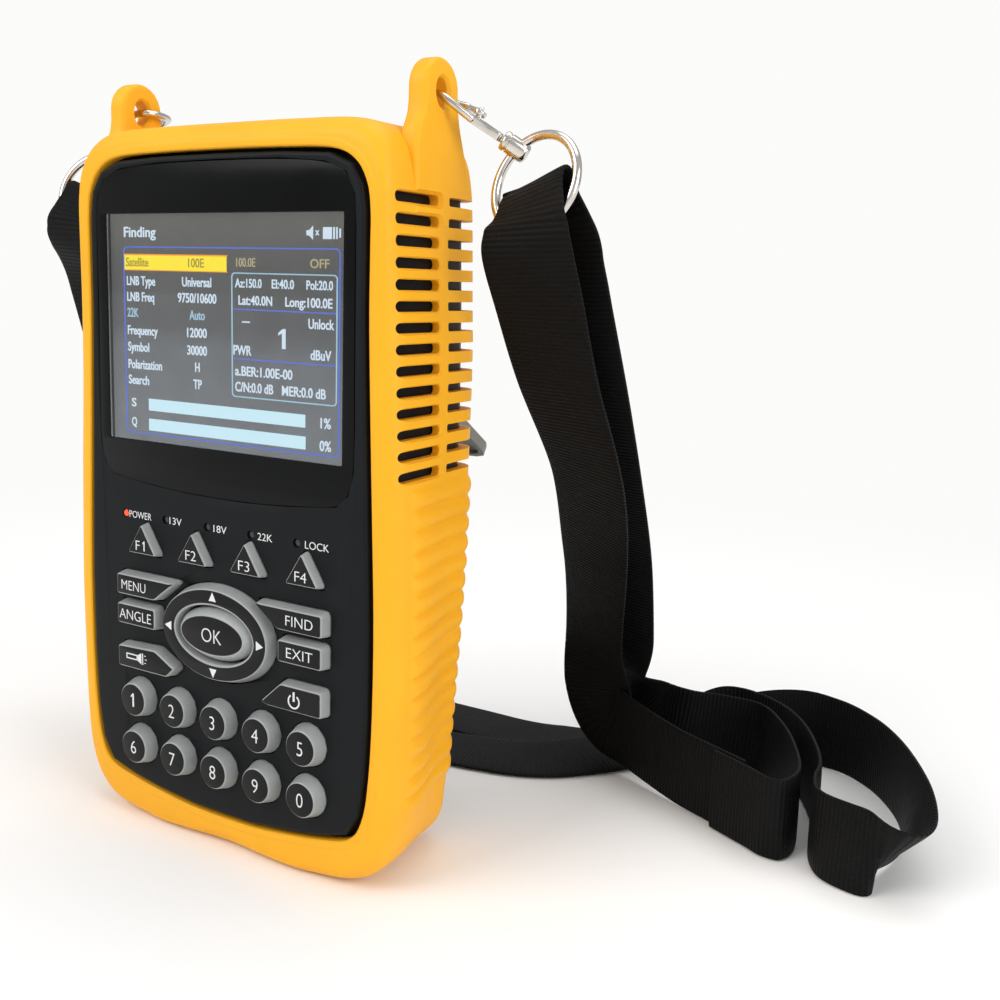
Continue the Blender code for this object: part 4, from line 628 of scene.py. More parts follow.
print("hook wire is", round(HOOK_WIRE / MM * 2, 2), "mm thick")

# %% [markdown]
# ## The rubber boot
#
# The boot is one moulded skin that wraps the case from the lip round the panel to the border
# round the back. Its surface is a closed section carried round the body: each station of the
# section is a loop that lies between three outlines, the panel's, the body's and the back
# window's, which share their parameter. The grip ribs are a smooth wave added to the side
# stations. Ears, vent slots and holes are joined and cut afterwards.

# %% Outlines of the body, panel, lens and back window, and one parameter for all of them
BODY_HALF, BODY_TOP = 0.0494, 0.1685
PANEL_HALF, PANEL_LOW, PANEL_TOP = 0.0425, 0.0088, 0.1614
BODY_SHARES = (
    (0, 1), (0.405, 0.9995), (0.688, 0.997), (0.814, 0.987), (0.891, 0.964), (0.925, 0.929),
    (0.939, 0.878), (0.951, 0.772), (0.970, 0.641), (0.992, 0.499), (1, 0.356), (0.996, 0.237),
    (0.982, 0.148), (0.951, 0.080), (0.883, 0.035), (0.759, 0.011), (0.567, 0.001), (0.385, 0),
)
PANEL_SHARES = (
    (0, 1), (0.424, 0.999), (0.729, 0.995), (0.865, 0.980), (0.932, 0.951), (0.951, 0.915),
    (0.951, 0.870), (0.951, 0.770), (0.965, 0.640), (0.984, 0.490), (1, 0.350), (0.997, 0.218),
    (0.980, 0.128), (0.945, 0.066), (0.866, 0.031), (0.682, 0.017), (0.480, 0.008), (0.200, 0),
)
LENS_SHARES = (
    (0, 1), (0.47, 0.997), (0.785, 0.984), (0.930, 0.953), (0.984, 0.895), (0.995, 0.815),
    (0.995, 0.574), (1, 0.265), (0.995, 0.131), (0.960, 0.066), (0.877, 0.029), (0.524, 0.009),
    (0.200, 0),
)
WINDOW_SHARES = (
    (0, 1), (0.4, 1), (0.797, 1), (0.875, 0.9962), (0.9405, 0.9854), (0.9845, 0.969), (1, 0.95),
    (1, 0.79), (1, 0.64), (1, 0.49), (1, 0.356), (1, 0.237), (1, 0.15), (1, 0.05), (0.9845, 0.031),
    (0.9405, 0.0146), (0.797, 0), (0.4, 0),
)


def half_table(shares, half_width, low, high):
    """Closed loop of points from a table for its right-hand half, mirrored for the left."""
    half = np.array(shares, dtype=float) * (half_width, high - low) + (0, low)
    mirrored = half[::-1] * (-1, 1)
    return np.vstack([half, mirrored[mirrored[:, 0] < 0]])


def loop_at(points, where):
    """Closed Catmull-Rom curve at real parameters; whole numbers give the table's own points."""
    count = len(points)
    first = np.floor(where).astype(int)
    t = (where - first)[:, None]
    a, b, c, d = (points[(first + step) % count] for step in (-1, 0, 1, 2))
    return spline_between(a, b, c, d, t)


def along_outline(outline, marks, where):
    """Points of a closed outline; each mark's nearest place is its parameter's whole number."""
    outline = np.vstack([outline, outline[:1]])
    travelled = np.concatenate([[0], np.cumsum(np.linalg.norm(np.diff(outline, axis=0), axis=1))])
    fine = np.linspace(0, travelled[-1], 8000, endpoint=False)
    points = np.stack([np.interp(fine, travelled, outline[:, axis]) for axis in (0, 1)], 1)
    places = fine[[int(np.argmin(np.linalg.norm(points - mark, axis=1))) for mark in marks]]
    places = np.append(places, places[0])
    places = np.unwrap(places, period=travelled[-1])
    at = np.interp(where, np.arange(len(places)), places) % travelled[-1]
    return np.stack([np.interp(at, travelled, outline[:, axis]) for axis in (0, 1)], 1)


body_table = half_table(BODY_SHARES, BODY_HALF, 0, BODY_TOP)
spans = np.linalg.norm(np.roll(body_table, -1, 0) - body_table, axis=1)
heights = (np.roll(body_table, -1, 0) + body_table)[:, 1] / 2
spacing = np.where((heights < 0.098) & (heights > 0.009), 0.00052, 0.0013)
counts = np.maximum(np.ceil(spans / spacing).astype(int), 4)
turns = np.concatenate([index + np.arange(count) / count for index, count in enumerate(counts)])
body_loop = loop_at(body_table, turns)
panel_loop = loop_at(half_table(PANEL_SHARES, PANEL_HALF, PANEL_LOW, PANEL_TOP), turns)
window_rim = box_outline(-0.0345, 0.0345, 0.012, 0.152, 0.007, 24)
window_loop = along_outline(window_rim, half_table(WINDOW_SHARES, 0.0345, 0.012, 0.152), turns)
body_loop[:, 1] = np.clip(body_loop[:, 1], 0, BODY_TOP)


def outward_of(loop):
    """Outward normals of a clockwise loop, by the step between each point's neighbours."""
    step = np.roll(loop, -1, 0) - np.roll(loop, 1, 0)
    return unit(np.stack([-step[:, 1], step[:, 0]], 1))


body_out, panel_out, window_out = outward_of(body_loop), outward_of(panel_loop), outward_of(window_loop)
body_in = unit(window_loop - body_loop)
body_in = body_in / np.clip(-np.sum(body_in * body_out, axis=1, keepdims=True), 0.6, 1)
print("outline points", len(turns), "outward check", bool((body_out * (body_loop - (0, 0.08))).sum() > 0))


# %% [markdown]
# A station is one loop of the section at one depth. The front round is a quarter circle between
# the lip and the side: at angle a it is drawn in by r (1 - sin a) and lies r (1 - cos a) deep. The
# back round is the same the other way, with a larger r. The ribs rise just behind the front round
# and fade out along the back one.

# %% The section of the skin, station by station
FRONT_ROUND, BACK_ROUND, WALL, DEPTH = 0.0052, 0.0066, 0.0022, 0.0365
RIB_TOP, RIB_STEP, RIB_COUNT, RIB_RISE = 0.0893, 0.0046, 16, 0.00095
LIP_GAP, LIP_STEP = 0.0009, 0.0004


def ribs_at(height):
    """Rise of the ribs: a cosine of the distance to the nearest one, its top flattened by a root."""
    order = (RIB_TOP - height) / RIB_STEP
    near = np.clip(np.round(order), 0, RIB_COUNT - 1)
    away = np.abs(order - near)
    return RIB_RISE * np.clip(np.cos(math.pi * np.minimum(away, 0.5)), 0, 1) ** 0.75


def station(loop, depth):
    """Ring of points from a loop in x and z and one depth behind the face."""
    depth = np.broadcast_to(depth, (len(loop),))
    return np.stack([loop[:, 0], FACE + depth, loop[:, 1]], 1)


def boot_skin():
    """Rings round the section: lip, front round, side, back round, back border and the inner side."""
    rings = []
    for grow, depth in ((0, 0.0030), (0, 0.0010), (0.0001, 0.00055), (0.0004, 0.00028), (0.00095, 0.0002),
                        (0.0015, 0.00024), (0.0018, 0.0003), (0.0020, LIP_STEP)):
        rings.append(station(panel_loop + panel_out * (LIP_GAP + grow), depth))
    foot = panel_loop + panel_out * (LIP_GAP + 0.0021)
    reach = np.linalg.norm(body_loop - foot, axis=1)
    start = np.arcsin(np.clip(1 - reach / FRONT_ROUND, 0, 1))
    for share in np.linspace(0, 1, 12):
        angle = start + (math.pi / 2 - start) * share
        inset = FRONT_ROUND * (1 - np.sin(angle))
        inset = np.where(share == 0, reach, inset)
        rings.append(station(body_loop + (foot - body_loop) * (inset / reach)[:, None],
                             LIP_STEP + FRONT_ROUND * (1 - np.cos(angle))))
    ribs = ribs_at(body_loop[:, 1]) * np.clip(np.abs(body_out[:, 0]) * 1.6 - 0.25, 0, 1)
    side_start, side_end = LIP_STEP + FRONT_ROUND, DEPTH - BACK_ROUND
    for depth, share in ((side_start + 0.0004, 0.12), (side_start + 0.0009, 0.4), (side_start + 0.0014, 0.72),
                         (side_start + 0.0020, 0.93), (side_start + 0.0028, 1), (0.012, 1), (0.016, 1),
                         (0.020, 1), (0.025, 1), (side_end, 1)):
        rings.append(station(body_loop + body_out * (ribs * share)[:, None], depth))
    for angle in np.radians((12, 24, 36, 48, 60, 70, 80, 90)):
        share = 1 - max(0.0, math.degrees(angle) - 45) / 45
        inset = BACK_ROUND * (1 - math.cos(angle))
        lift = ribs * share
        rings.append(station(body_loop + body_out * (lift * math.cos(angle))[:, None] + body_in * inset,
                             side_end + BACK_ROUND * math.sin(angle) + lift * math.sin(angle) * 0.6))
    inner = body_loop + body_in * BACK_ROUND
    for share in (0.35, 0.7):
        rings.append(station(inner + (window_loop + window_out * 0.0006 - inner) * share, DEPTH))
    for grow, depth in ((0.0006, DEPTH), (0.0002, DEPTH - 0.0001), (0, DEPTH - 0.0005),
                        (0, DEPTH - WALL)):
        rings.append(station(window_loop + window_out * grow, depth))
    rings.append(station(body_loop + body_in * (BACK_ROUND + 0.0005), DEPTH - WALL))
    for inset, depth in ((0.0035, DEPTH - WALL - 0.0013), (WALL, DEPTH - BACK_ROUND), (WALL, 0.0062),
                         (0.0030, 0.0040)):
        rings.append(station(body_loop + body_in * inset, depth))
    return np.array(rings)


boot_mesh = grid_mesh("boot_skin", boot_skin(), round_rows=True)
print("boot skin has", len(boot_mesh.polygons), "faces")

# %% [markdown]
# The ears are two rounded slabs whose feet flare into the boot. The vents, the ear holes and the
# opening for the sockets are closed solids that are taken away. Last, a table draws the lower
# back of the grip in, after the silhouette in the photograph.

# %% Ears, vent slots and holes
EAR_OUT, EAR_THICK, EAR_HALF, EAR_TOP, EAR_LOW = 0.0467, 0.0050, 0.0064, 0.1812, 0.146
EAR_DEPTH, HOLE_Z = 0.0183, 0.1742
EAR_REAR = ((24.9, 171.5), (25.7, 168), (27.2, 164), (28.7, 160), (29.7, 155))
EAR_FRONT = ((9.2, 163), (9.6, 165.5), (10.6, 167.6), (11.5, 169.6), (11.9, 172))
VENT_TOP, VENT_STEP, VENT_COUNT = 0.152, 0.00443, 14


def ear_points(side):
    """Rounded slab across x: the outline drawn in by r (1 - cos a) at each face."""
    top = np.radians(np.linspace(180, 0, 40))
    outline = np.stack([EAR_DEPTH + EAR_HALF * np.cos(top), EAR_TOP - EAR_HALF + EAR_HALF * np.sin(top)], 1)
    rear = curve_through(np.array(EAR_REAR) * MM, 6)
    front = curve_through(np.array(EAR_FRONT) * MM, 6)
    outline = np.vstack([outline, rear, [(0.0302, EAR_LOW), (0.0088, EAR_LOW)], front])
    rings, edge = [], 0.0013
    angles = (0, 18, 36, 54, 72, 90)
    for outer_face, angle in [(False, a) for a in angles] + [(True, a) for a in angles[::-1]]:
        inset = edge * (1 - math.sin(math.radians(angle)))
        rise = edge * (1 - math.cos(math.radians(angle)))
        x = EAR_OUT - rise if outer_face else EAR_OUT - EAR_THICK + rise
        loop = drawn_in(outline, inset)
        rings.append(np.stack([np.full(len(loop), side * x), FACE + loop[:, 0], loop[:, 1]], 1))
    return np.array(rings)


def across_body(loops, side):
    """Closed prism through loops in depth and z at given x."""
    return np.array([np.stack([np.full(len(loop), side * x), FACE + loop[:, 0], loop[:, 1]], 1)
                     for x, loop in loops])


def wide_at(height):
    """Half width of the body at a height."""
    half = body_loop[body_loop[:, 0] > 0]
    order = np.argsort(half[:, 1])
    return float(np.interp(height, half[order, 1], half[order, 0]))


def side_slot(height, side):
    """Slot with round ends whose mouth flares at the outer face."""
    wide = wide_at(height)
    loops = []
    for x, grow in ((wide - 0.0054, 0), (wide - 0.00045, 0), (wide + 0.00005, 0.0004),
                    (wide + 0.0013, 0.00105)):
        loops.append((x, box_outline(0.0027 - grow, 0.0187 + grow, height - 0.0011 - grow,
                                     height + 0.0011 + grow, 0.00105 + grow, 5)))
    return across_body(loops, side)


def corner_slot(height, side):
    """Slot through the back corner."""
    wide = wide_at(height)
    loop = box_outline(0.0215, DEPTH + 0.003, height - 0.00095, height + 0.00095, 0.0005, 3)
    return across_body(((wide - 0.0105, loop), (wide + 0.003, loop)), side)


def ear_hole(side):
    """Oval hole whose two edges are eased."""
    loops = [(EAR_OUT - x, ellipse((EAR_DEPTH, HOLE_Z), 0.0023 + grow, 0.0030 + grow, 32))
             for x, grow in ((-0.001, 0.0016), (0.0001, 0.0005), (0.0007, 0), (EAR_THICK - 0.0007, 0),
                             (EAR_THICK - 0.0001, 0.0005), (EAR_THICK + 0.001, 0.0016))]
    return across_body(loops, side)


def gathered(name, grids):
    """The joined mesh of several closed grids as an object, for use as a boolean's tool."""
    holder = bpy.data.objects.new(name, joined(name, grids))
    bpy.context.scene.collection.objects.link(holder)
    return holder


def with_booleans(name, mesh, steps):
    """Mesh after joining or cutting each tool, whose object is then removed."""
    holder = bpy.data.objects.new(name, mesh)
    bpy.context.scene.collection.objects.link(holder)
    for operation, tool in steps:
        modifier = holder.modifiers.new(tool.name, "BOOLEAN")
        modifier.operation, modifier.solver, modifier.object = operation, "EXACT", tool
    made = bpy.data.meshes.new_from_object(holder.evaluated_get(bpy.context.evaluated_depsgraph_get()))
    for gone in [holder] + [tool for _, tool in steps]:
        bpy.data.objects.remove(gone)
    return made


SLIM_Z = np.array((-1, 7, 14, 28, 42, 56, 70, 84, 98, 112, 122)) * MM
SLIM_BY = np.array((1.2, 3.0, 4.6, 5.3, 4.8, 4.0, 3.1, 2.3, 1.3, 0.4, 0)) * MM


def eased(share):
    """Smooth step: 3 s^2 - 2 s^3 of a share held between 0 and 1."""
    share = np.clip(share, 0, 1)
    return share * share * (3 - 2 * share)


def slimmed(mesh):
    """Grip's waist: x moves inwards by a table in z, times eased steps in depth and in half width."""
    spots = np.empty(len(mesh.vertices) * 3)
    mesh.vertices.foreach_get("co", spots)
    spots = spots.reshape(-1, 3)
    depth = spots[:, 1] - FACE
    move = np.interp(spots[:, 2], SLIM_Z, SLIM_BY) * eased((depth - 0.008) / 0.021)
    spots[:, 0] -= np.sign(spots[:, 0]) * move * eased((np.abs(spots[:, 0]) - 0.029) / 0.014)
    mesh.vertices.foreach_set("co", spots.ravel())
    mesh.update()


slot_heights = VENT_TOP - VENT_STEP * np.arange(VENT_COUNT)
cuts = [ear_hole(side) for side in (1, -1)]
cuts += [shape(z, side) for z in slot_heights for side in (1, -1) for shape in (side_slot, corner_slot)]
deck = box_outline(-0.0268, 0.0268, 0.0206, 0.0318, 0.0015, 4)
cuts.append(np.array([np.stack([deck[:, 0], FACE + deck[:, 1], np.full(len(deck), z)], 1)
                      for z in (BODY_TOP - 0.0045, BODY_TOP + 0.002)]))
boot_mesh = with_booleans("boot", boot_mesh, [("UNION", gathered("ears", [ear_points(1), ear_points(-1)])),
                                              ("DIFFERENCE", gathered("cuts", cuts))])
slimmed(boot_mesh)
boot = add_piece("boot_skin", boot_mesh, rubber, "meter", 32)
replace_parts(boot, "protective_boot")
print("boot has", len(boot_mesh.polygons), "faces after cutting")

# %% [markdown]
# The two shells of the case follow the same waist inside the boot, so copies of the packed
# meshes are merged and moved by the same rule.

# %% Shells that follow the boot
for shell, shell_finish, shell_slot in (("front_shell", panel_black, "black_case"),
                                        ("rear_shell", case_grey, "grey_case")):
    packed = frame["nodes"][shell]
    shell_mesh = packed.data.copy()
    shell_mesh.transform(packed.matrix_world)
    tidy(shell_mesh, 2e-6)
    slimmed(shell_mesh)
    case = add_piece(f"{shell}_case", shell_mesh, shell_finish, "meter", 30)
    case.modifiers.new("flat_faces_lead", "WEIGHTED_NORMAL").keep_sharp = True
    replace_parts(case, shell)
    print(case.name, "has", len(shell_mesh.polygons), "faces")

# %% [markdown]
# The hooks need the boolean helper of the boot's cell, so they are made here.

# %% Make the metal pieces
for metal_label, metal_turn in (("right", 1), ("left", -1)):
    metal_side(metal_label, metal_turn)

# %% [markdown]
# ## Screen
#
# The lens is a glossy black plate with a rectangular window. A clear pane fills the window, and
# the picture lies on the module behind it as thin glowing shapes: a grey ground, frames, a
# highlighted row, two bars, and lines of plain numbers and words. The ground's lower part is
# painted lighter and bluish, a painted reflection of the floor on the screen.

# %% Screen finishes
def glow(name, colour, strength=1.0):
    """Material that gives off one colour."""
    made, shader = finish(name, (0, 0, 0), 0.6)
    shader.inputs["Emission Color"].default_value = (*colour, 1)
    shader.inputs["Emission Strength"].default_value = strength
    return made, shader


# The grey ground glows as the screen does; the ramp by height paints its lower part lighter and bluish, a
# painted reflection of the floor.
screen_ground_and_reflection, ground_shader = glow("screen_ground_and_reflection", (0.1, 0.1, 0.1))
place = node(screen_ground_and_reflection, "ShaderNodeTexCoord").outputs["Object"]
split = node(screen_ground_and_reflection, "ShaderNodeSeparateXYZ", {"Vector": place})
share = node(screen_ground_and_reflection, "ShaderNodeMapRange",
             {"Value": split.outputs["Z"], "From Min": 0.097, "From Max": 0.147})
ramp = node(screen_ground_and_reflection, "ShaderNodeValToRGB", {"Fac": share.outputs["Result"]})
ramp.color_ramp.elements[0].color = (0.135, 0.15, 0.165, 1)
ramp.color_ramp.elements[1].color = (0.088, 0.088, 0.078, 1)
for where, colour in ((0.42, (0.105, 0.115, 0.125, 1)), (0.52, (0.066, 0.068, 0.072, 1)),
                      (0.8, (0.062, 0.062, 0.06, 1))):
    ramp.color_ramp.elements.new(where).color = colour
mottle = node(screen_ground_and_reflection, "ShaderNodeTexNoise", {"Vector": place, "Scale": 160.0, "Detail": 2.0})
mottled = node(screen_ground_and_reflection, "ShaderNodeMapRange",
               {"Value": mottle.outputs["Fac"], "To Min": 0.8, "To Max": 1.2})
screen_ground_and_reflection.node_tree.links.new(ramp.outputs["Color"], ground_shader.inputs["Emission Color"])
screen_ground_and_reflection.node_tree.links.new(mottled.outputs["Result"], ground_shader.inputs["Emission Strength"])
screen_white = glow("screen_white", (0.62, 0.74, 0.86))[0]
screen_blue = glow("screen_blue", (0.07, 0.13, 0.62))[0]
screen_pale_blue = glow("screen_pale_blue", (0.33, 0.55, 0.68))[0]
screen_yellow = glow("screen_yellow", (0.98, 0.78, 0.002))[0]
screen_amber = glow("screen_amber", (0.92, 0.30, 0.005))[0]
screen_olive = glow("screen_olive", (0.34, 0.24, 0.01))[0]
screen_cyan = glow("screen_cyan", (0.56, 0.81, 0.91))[0]
lamp_red = glow("lamp_red", (1.0, 0.09, 0.025), 1.6)[0]
clear_pane = finish("clear_pane", (0.97, 0.98, 0.98), 0.03, Transmission_Weight=1.0, IOR=1.35)[0]


CAP_SHARE = 0.7


def letters(items, thickness, bold=0.0):
    """Mesh of several texts, each scaled to a height of capitals and to a width, or centred."""
    work = bmesh.new()
    for words, left, right_, base, cap in items:
        curve = bpy.data.curves.new("words", "FONT")
        curve.body, curve.extrude, curve.offset, curve.resolution_u = words, 0.5, bold, 4
        mesh = mesh_of("words", curve)
        spots = np.empty(len(mesh.vertices) * 3)
        mesh.vertices.foreach_get("co", spots)
        spots = spots.reshape(-1, 3)
        low, high = spots[:, 0].min(), spots[:, 0].max()
        stretch = cap / CAP_SHARE * 0.9 if right_ is None else (right_ - left) / (high - low)
        start = left - (low + high) / 2 * stretch if right_ is None else left - low * stretch
        spots = spots * (stretch, cap / CAP_SHARE, thickness / MM) + (start, base, 0)
        mesh.vertices.foreach_set("co", (spots * MM).ravel())
        work.from_mesh(mesh)
        bpy.data.meshes.remove(mesh)
    mesh = bpy.data.meshes.new("letters")
    work.to_mesh(mesh)
    work.free()
    return mesh


def lettering(name, items, depth, thickness, material, body, bold=0.0, slot=None):
    """Lines of raised text in millimetres, facing forwards at a depth behind the face."""
    mesh = letters(items, thickness, bold)
    mesh.transform(facing(depth))
    tidy(mesh, 1e-7)
    return add_piece(name, mesh, material, body, 30)


def frame_line(left, right_, bottom, top, radius, width):
    """Thin rounded frame in millimetres."""
    outline = box_outline(left * MM, right_ * MM, bottom * MM, top * MM, radius * MM, 8)
    return [outline, drawn_in(outline, width * MM)]


def bar(left, right_, bottom, top):
    """Plain rectangle in millimetres, clockwise."""
    return np.array([(left, top), (right_, top), (right_, bottom), (left, bottom)]) * MM


def one_outline(x, base, cap, stem):
    """Numeral one: a stem with a short flag at its top left."""
    left, right_ = x - stem / 2, x + stem / 2
    return np.array([(left, base + cap * 0.8), (left - stem * 1.1, base + cap * 0.66),
                     (left - stem * 1.1, base + cap * 0.79), (left + stem * 0.2, base + cap),
                     (right_, base + cap), (right_, base), (left, base)]) * MM


# %% [markdown]
# Every text is a row: the words, the left and right end, the line they stand on and the height of
# the capitals, in millimetres. The readings of place, angle and frequency are plain round
# numbers. A filled text is scaled to its row, so no font size has to be worked out.

# %% Lens, pane and picture
lens_loop = loop_at(half_table(LENS_SHARES, 0.0382, 0.0852, 0.1598), np.arange(0, 25, 0.05))
lens_loop = lens_loop[np.append(np.linalg.norm(np.diff(lens_loop, axis=0), axis=1) > 1e-6, True)]
window = box_outline(-0.03504, 0.03504, 0.09612, 0.14868, 0.0004, 3)
lens = plate("lens_plate", [lens_loop, window], 0.00001, 0.0010, lens_black, "meter", 0.00012, 40,
             "clear_lens")
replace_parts(lens, "screen_lens")
plate("lens_pane", [drawn_in(window, 0.00003)], 0.00025, 0.0009, clear_pane, "meter", 0, 40, "clear_lens")
plate("picture_ground_and_reflection", [bar(-35.5, 35.5, 95.7, 149.1)], 0.00212, 0.00222, screen_ground_and_reflection, "meter",
      slot="screen_glass")
INK = (0.00196, 0.00210)
PRINT = (INK[1] - 0.00006, 0.00008)
SHAPES = (
    ("picture_frame", screen_blue, frame_line(-31.3, 33.0, 97.45, 141.35, 1.3, 0.32)),
    ("picture_box", screen_pale_blue, frame_line(2.65, 32.25, 108.4, 135.9, 1.0, 0.26)),
    ("picture_dividers", screen_blue, [bar(3.0, 32.0, 127.75, 128.05), bar(3.0, 32.0, 116.8, 117.1)]),
    ("picture_row", screen_yellow, [bar(-30.9, 1.2, 136.0, 139.3)]),
    ("picture_row_edge", screen_amber, [bar(-31.0, 1.48, 135.8, 136.0), bar(-31.0, 1.48, 139.3, 139.62)]),
    ("picture_bars", screen_cyan, [bar(-23.65, 23.7, 103.2, 106.0), bar(-23.7, 23.8, 98.45, 101.25)]),
    ("picture_battery", screen_white, [bar(28.3, 30.6, 143.2, 145.65), bar(31.0, 31.4, 143.2, 145.65),
                                       bar(31.8, 32.1, 143.2, 145.65), bar(32.6, 32.95, 143.5, 145.35)]),
    ("picture_sound", screen_white, [bar(23.9, 24.5, 143.95, 145.0), np.array(
        [(24.6, 145.0), (25.6, 145.9), (25.6, 143.1), (24.6, 143.95)]) * MM]),
)
for shape_name, ink, shape in SHAPES:
    plate(shape_name, shape, *INK, ink, "meter", slot="screen_glass")
lettering("picture_words", [
    ("Finding", -31.0, -20.6, 143.5, 2.3), ("x", 26.2, 27.3, 144.0, 1.5),
    ("LNB Type", -30.3, -21.0, 132.4, 2.1), ("Universal", -12.4, -3.4, 132.5, 2.1),
    ("LNB Freq", -30.3, -21.4, 128.7, 2.1), ("9750/10600", -13.8, -1.9, 128.9, 2.1),
    ("Frequency", -30.3, -20.4, 120.9, 2.1), ("12000", -11.0, -4.9, 121.1, 2.1),
    ("Symbol", -30.3, -23.3, 117.0, 2.1), ("30000", -11.0, -4.9, 117.1, 2.1),
    ("Polarization", -30.3, -19.2, 112.9, 2.1), ("H", -8.6, -7.2, 113.3, 2.1),
    ("Search", -30.3, -23.5, 109.2, 2.1), ("TP", -9.2, -6.6, 109.4, 2.1),
    ("Az:150.0", 3.7, 11.4, 132.7, 1.9), ("El:40.0", 14.3, 20.5, 132.7, 1.9),
    ("Pol:20.0", 23.9, 31.0, 132.7, 1.9), ("Lat:40.0N", 4.7, 14.4, 128.95, 2.0),
    ("Long:100.0E", 18.1, 30.9, 128.95, 2.0), ("---", 5.7, 8.0, 124.6, 1.8),
    ("Unlock", 24.5, 31.4, 124.5, 2.1), ("PWR", 3.15, 8.4, 117.9, 2.1),
    ("dBuV", 25.1, 30.7, 117.95, 2.1), ("a.BER:1.00E-00", 3.6, 20.1, 113.3, 2.1),
    ("C/N:0.0 dB", 3.6, 14.7, 109.75, 2.1), ("MER:0.0 dB", 17.2, 29.3, 109.75, 2.1),
    ("S", -29.4, -27.9, 103.8, 2.0), ("Q", -29.5, -27.8, 99.2, 2.0),
    ("1%", 27.9, 30.7, 103.5, 2.2), ("0%", 27.7, 30.8, 98.6, 2.2),
], *PRINT, screen_white, "meter", 0.018, "screen_glass")
plate("picture_number", [one_outline(17.7, 119.8, 4.3, 0.95)], *INK, screen_white, "meter",
      slot="screen_glass")
lettering("picture_dim_words", [("22K", -30.3, -26.6, 125.0, 2.1), ("Auto", -10.2, -5.5, 125.1, 2.1)],
          *PRINT, screen_pale_blue, "meter", 0.012, "screen_glass")
lettering("picture_row_words", [("Satellite", -30.3, -23.0, 136.75, 2.0), ("100E", -10.3, -5.5, 136.8, 2.0)],
          INK[0] - 0.00003, 0.00008, screen_olive, "meter", 0.01, "screen_glass")
screen_sand = glow("screen_sand", (0.42, 0.36, 0.2))[0]
lettering("picture_side_words", [("100.0E", 4.1, 9.6, 137.2, 1.9), ("OFF", 24.9, 30.0, 137.2, 1.9)],
          *PRINT, screen_sand, "meter", 0.01, "screen_glass")

# %% [markdown]
# ## Keys
#
# A key is a pale skirt with a draft and a rounded edge, a black cap on its top, and a raised white
# legend. The skirt, the cap and the legend ride on the key's own body, so they move together.

# %% Key builders
CAP_PROUD = 0.00007
SIGN_LOW, SIGN_HIGH = 0.00003, 0.00012


def key_skirt(name, top, grow, height, body, bottom=0.003):
    """Rings from the key's foot to its top, whose edge is rounded in quarter-circle steps."""
    foot = drawn_in(top, -grow)
    rings = [station(foot, bottom), station(foot, 0.0001)]
    edge = 0.0004
    for angle in np.radians((0, 22, 45, 67, 90)):
        rings.append(station(drawn_in(top, edge * (1 - math.cos(angle)) - 0.00005),
                             -height + edge * (1 - math.sin(angle))))
    return add_piece(name, grid_mesh(name, np.array(rings)), key_grey, body, 40)


def key_cap(name, outlines, height, body):
    """Black cap that stands a little proud of the skirt's top."""
    return plate(name, outlines, -height - CAP_PROUD, -height + 0.0002, key_black, body, 0.00004, 40,
                 "key_plastic")


def key_legend(key, items, height, weight=0.0):
    """White legend on a key's cap."""
    return lettering(f"{key}_legend", items, -height - CAP_PROUD, 0.00008, legend_white, key, weight,
                     "key_plastic")


def plain_key(key, outline, grow, height, items, rim=0.00026, weight=-0.010):
    """Skirt, cap and legend of one key."""
    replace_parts(key_skirt(f"{key}_skirt", outline, grow, height, key), key)
    key_cap(f"{key}_cap", [drawn_in(outline, rim)], height, key)
    if items:
        key_legend(key, items, height, weight)


# %% [markdown]
# The ten number keys stand in two rows of five, and zero comes last, as its remainder by five
# says. The four function keys are triangles with soft corners. The figure 1 on two keys is an
# outline of its own, and it is drawn with the other signs in the next cell.

# %% Number keys and function keys
KEY_PITCH, FUNCTION_PITCH, FIRST_ROW, SECOND_ROW = 13.1, 16.3, 32.5, 20.45
for digit in range(10):
    column, row_z = (digit - 1) % 5, FIRST_ROW if 1 <= digit <= 5 else SECOND_ROW
    x = (column - 2) * KEY_PITCH + 0.3
    plain_key(f"key_{digit}", ellipse((x * MM, row_z * MM), 0.0041, 0.0041, 64), 0.0009, 0.003,
              [(str(digit), x, None, row_z - 1.7, 3.4)] if digit != 1 else None)
for number in range(4):
    x = -23.1 + FUNCTION_PITCH * number
    corners = np.array([(x - 4.6, 69.1), (x, 76.3), (x + 4.6, 69.1)]) * MM
    word, word_end = (f"F{number + 1}", x + 1.6) if number else ("F", x - 0.4)
    plain_key(f"key_f{number + 1}", softened(corners, 0.0008, 8), 0.00045, 0.002,
              [(word, x - 1.7, word_end, 69.95, 2.4)], 0.0003)

# %% [markdown]
# A side key is a polygon in shares of its width and height, measured from its outer end. The row
# also has the width, the height, the middle line and the word. Torch and power have signs.

# %% Side keys with their words and symbols
SIDE_KEYS = (
    ("menu", -1, ((0, 0), (0, 1), (1, 1), (0.66, 0)), 19.0, 5.0, 61.0, ("MENU", -29.4, -21.3, 2.4)),
    ("find", 1, ((0, 0), (0, 1), (1, 1), (0.66, 0)), 19.0, 5.0, 61.0, ("FIND", 22.0, 29.6, 2.4)),
    ("angle", -1, ((0, 0), (0, 1), (1, 1), (1, 0)), 12.6, 5.0, 53.7, ("ANGLE", -30.3, -19.6, 2.5)),
    ("exit", 1, ((0, 0), (0, 1), (1, 1), (1, 0)), 12.3, 5.0, 53.7, ("EXIT", 22.2, 29.6, 2.4)),
    ("torch", -1, ((0, 0), (0, 0.9), (0.66, 1), (1, 0.42), (0.86, 0)), 18.8, 5.8, 43.2, None),
    ("power", 1, ((0, 0), (0, 1), (0.67, 1), (1, 0.1), (0.9, 0)), 17.2, 5.8, 43.2, None),
)
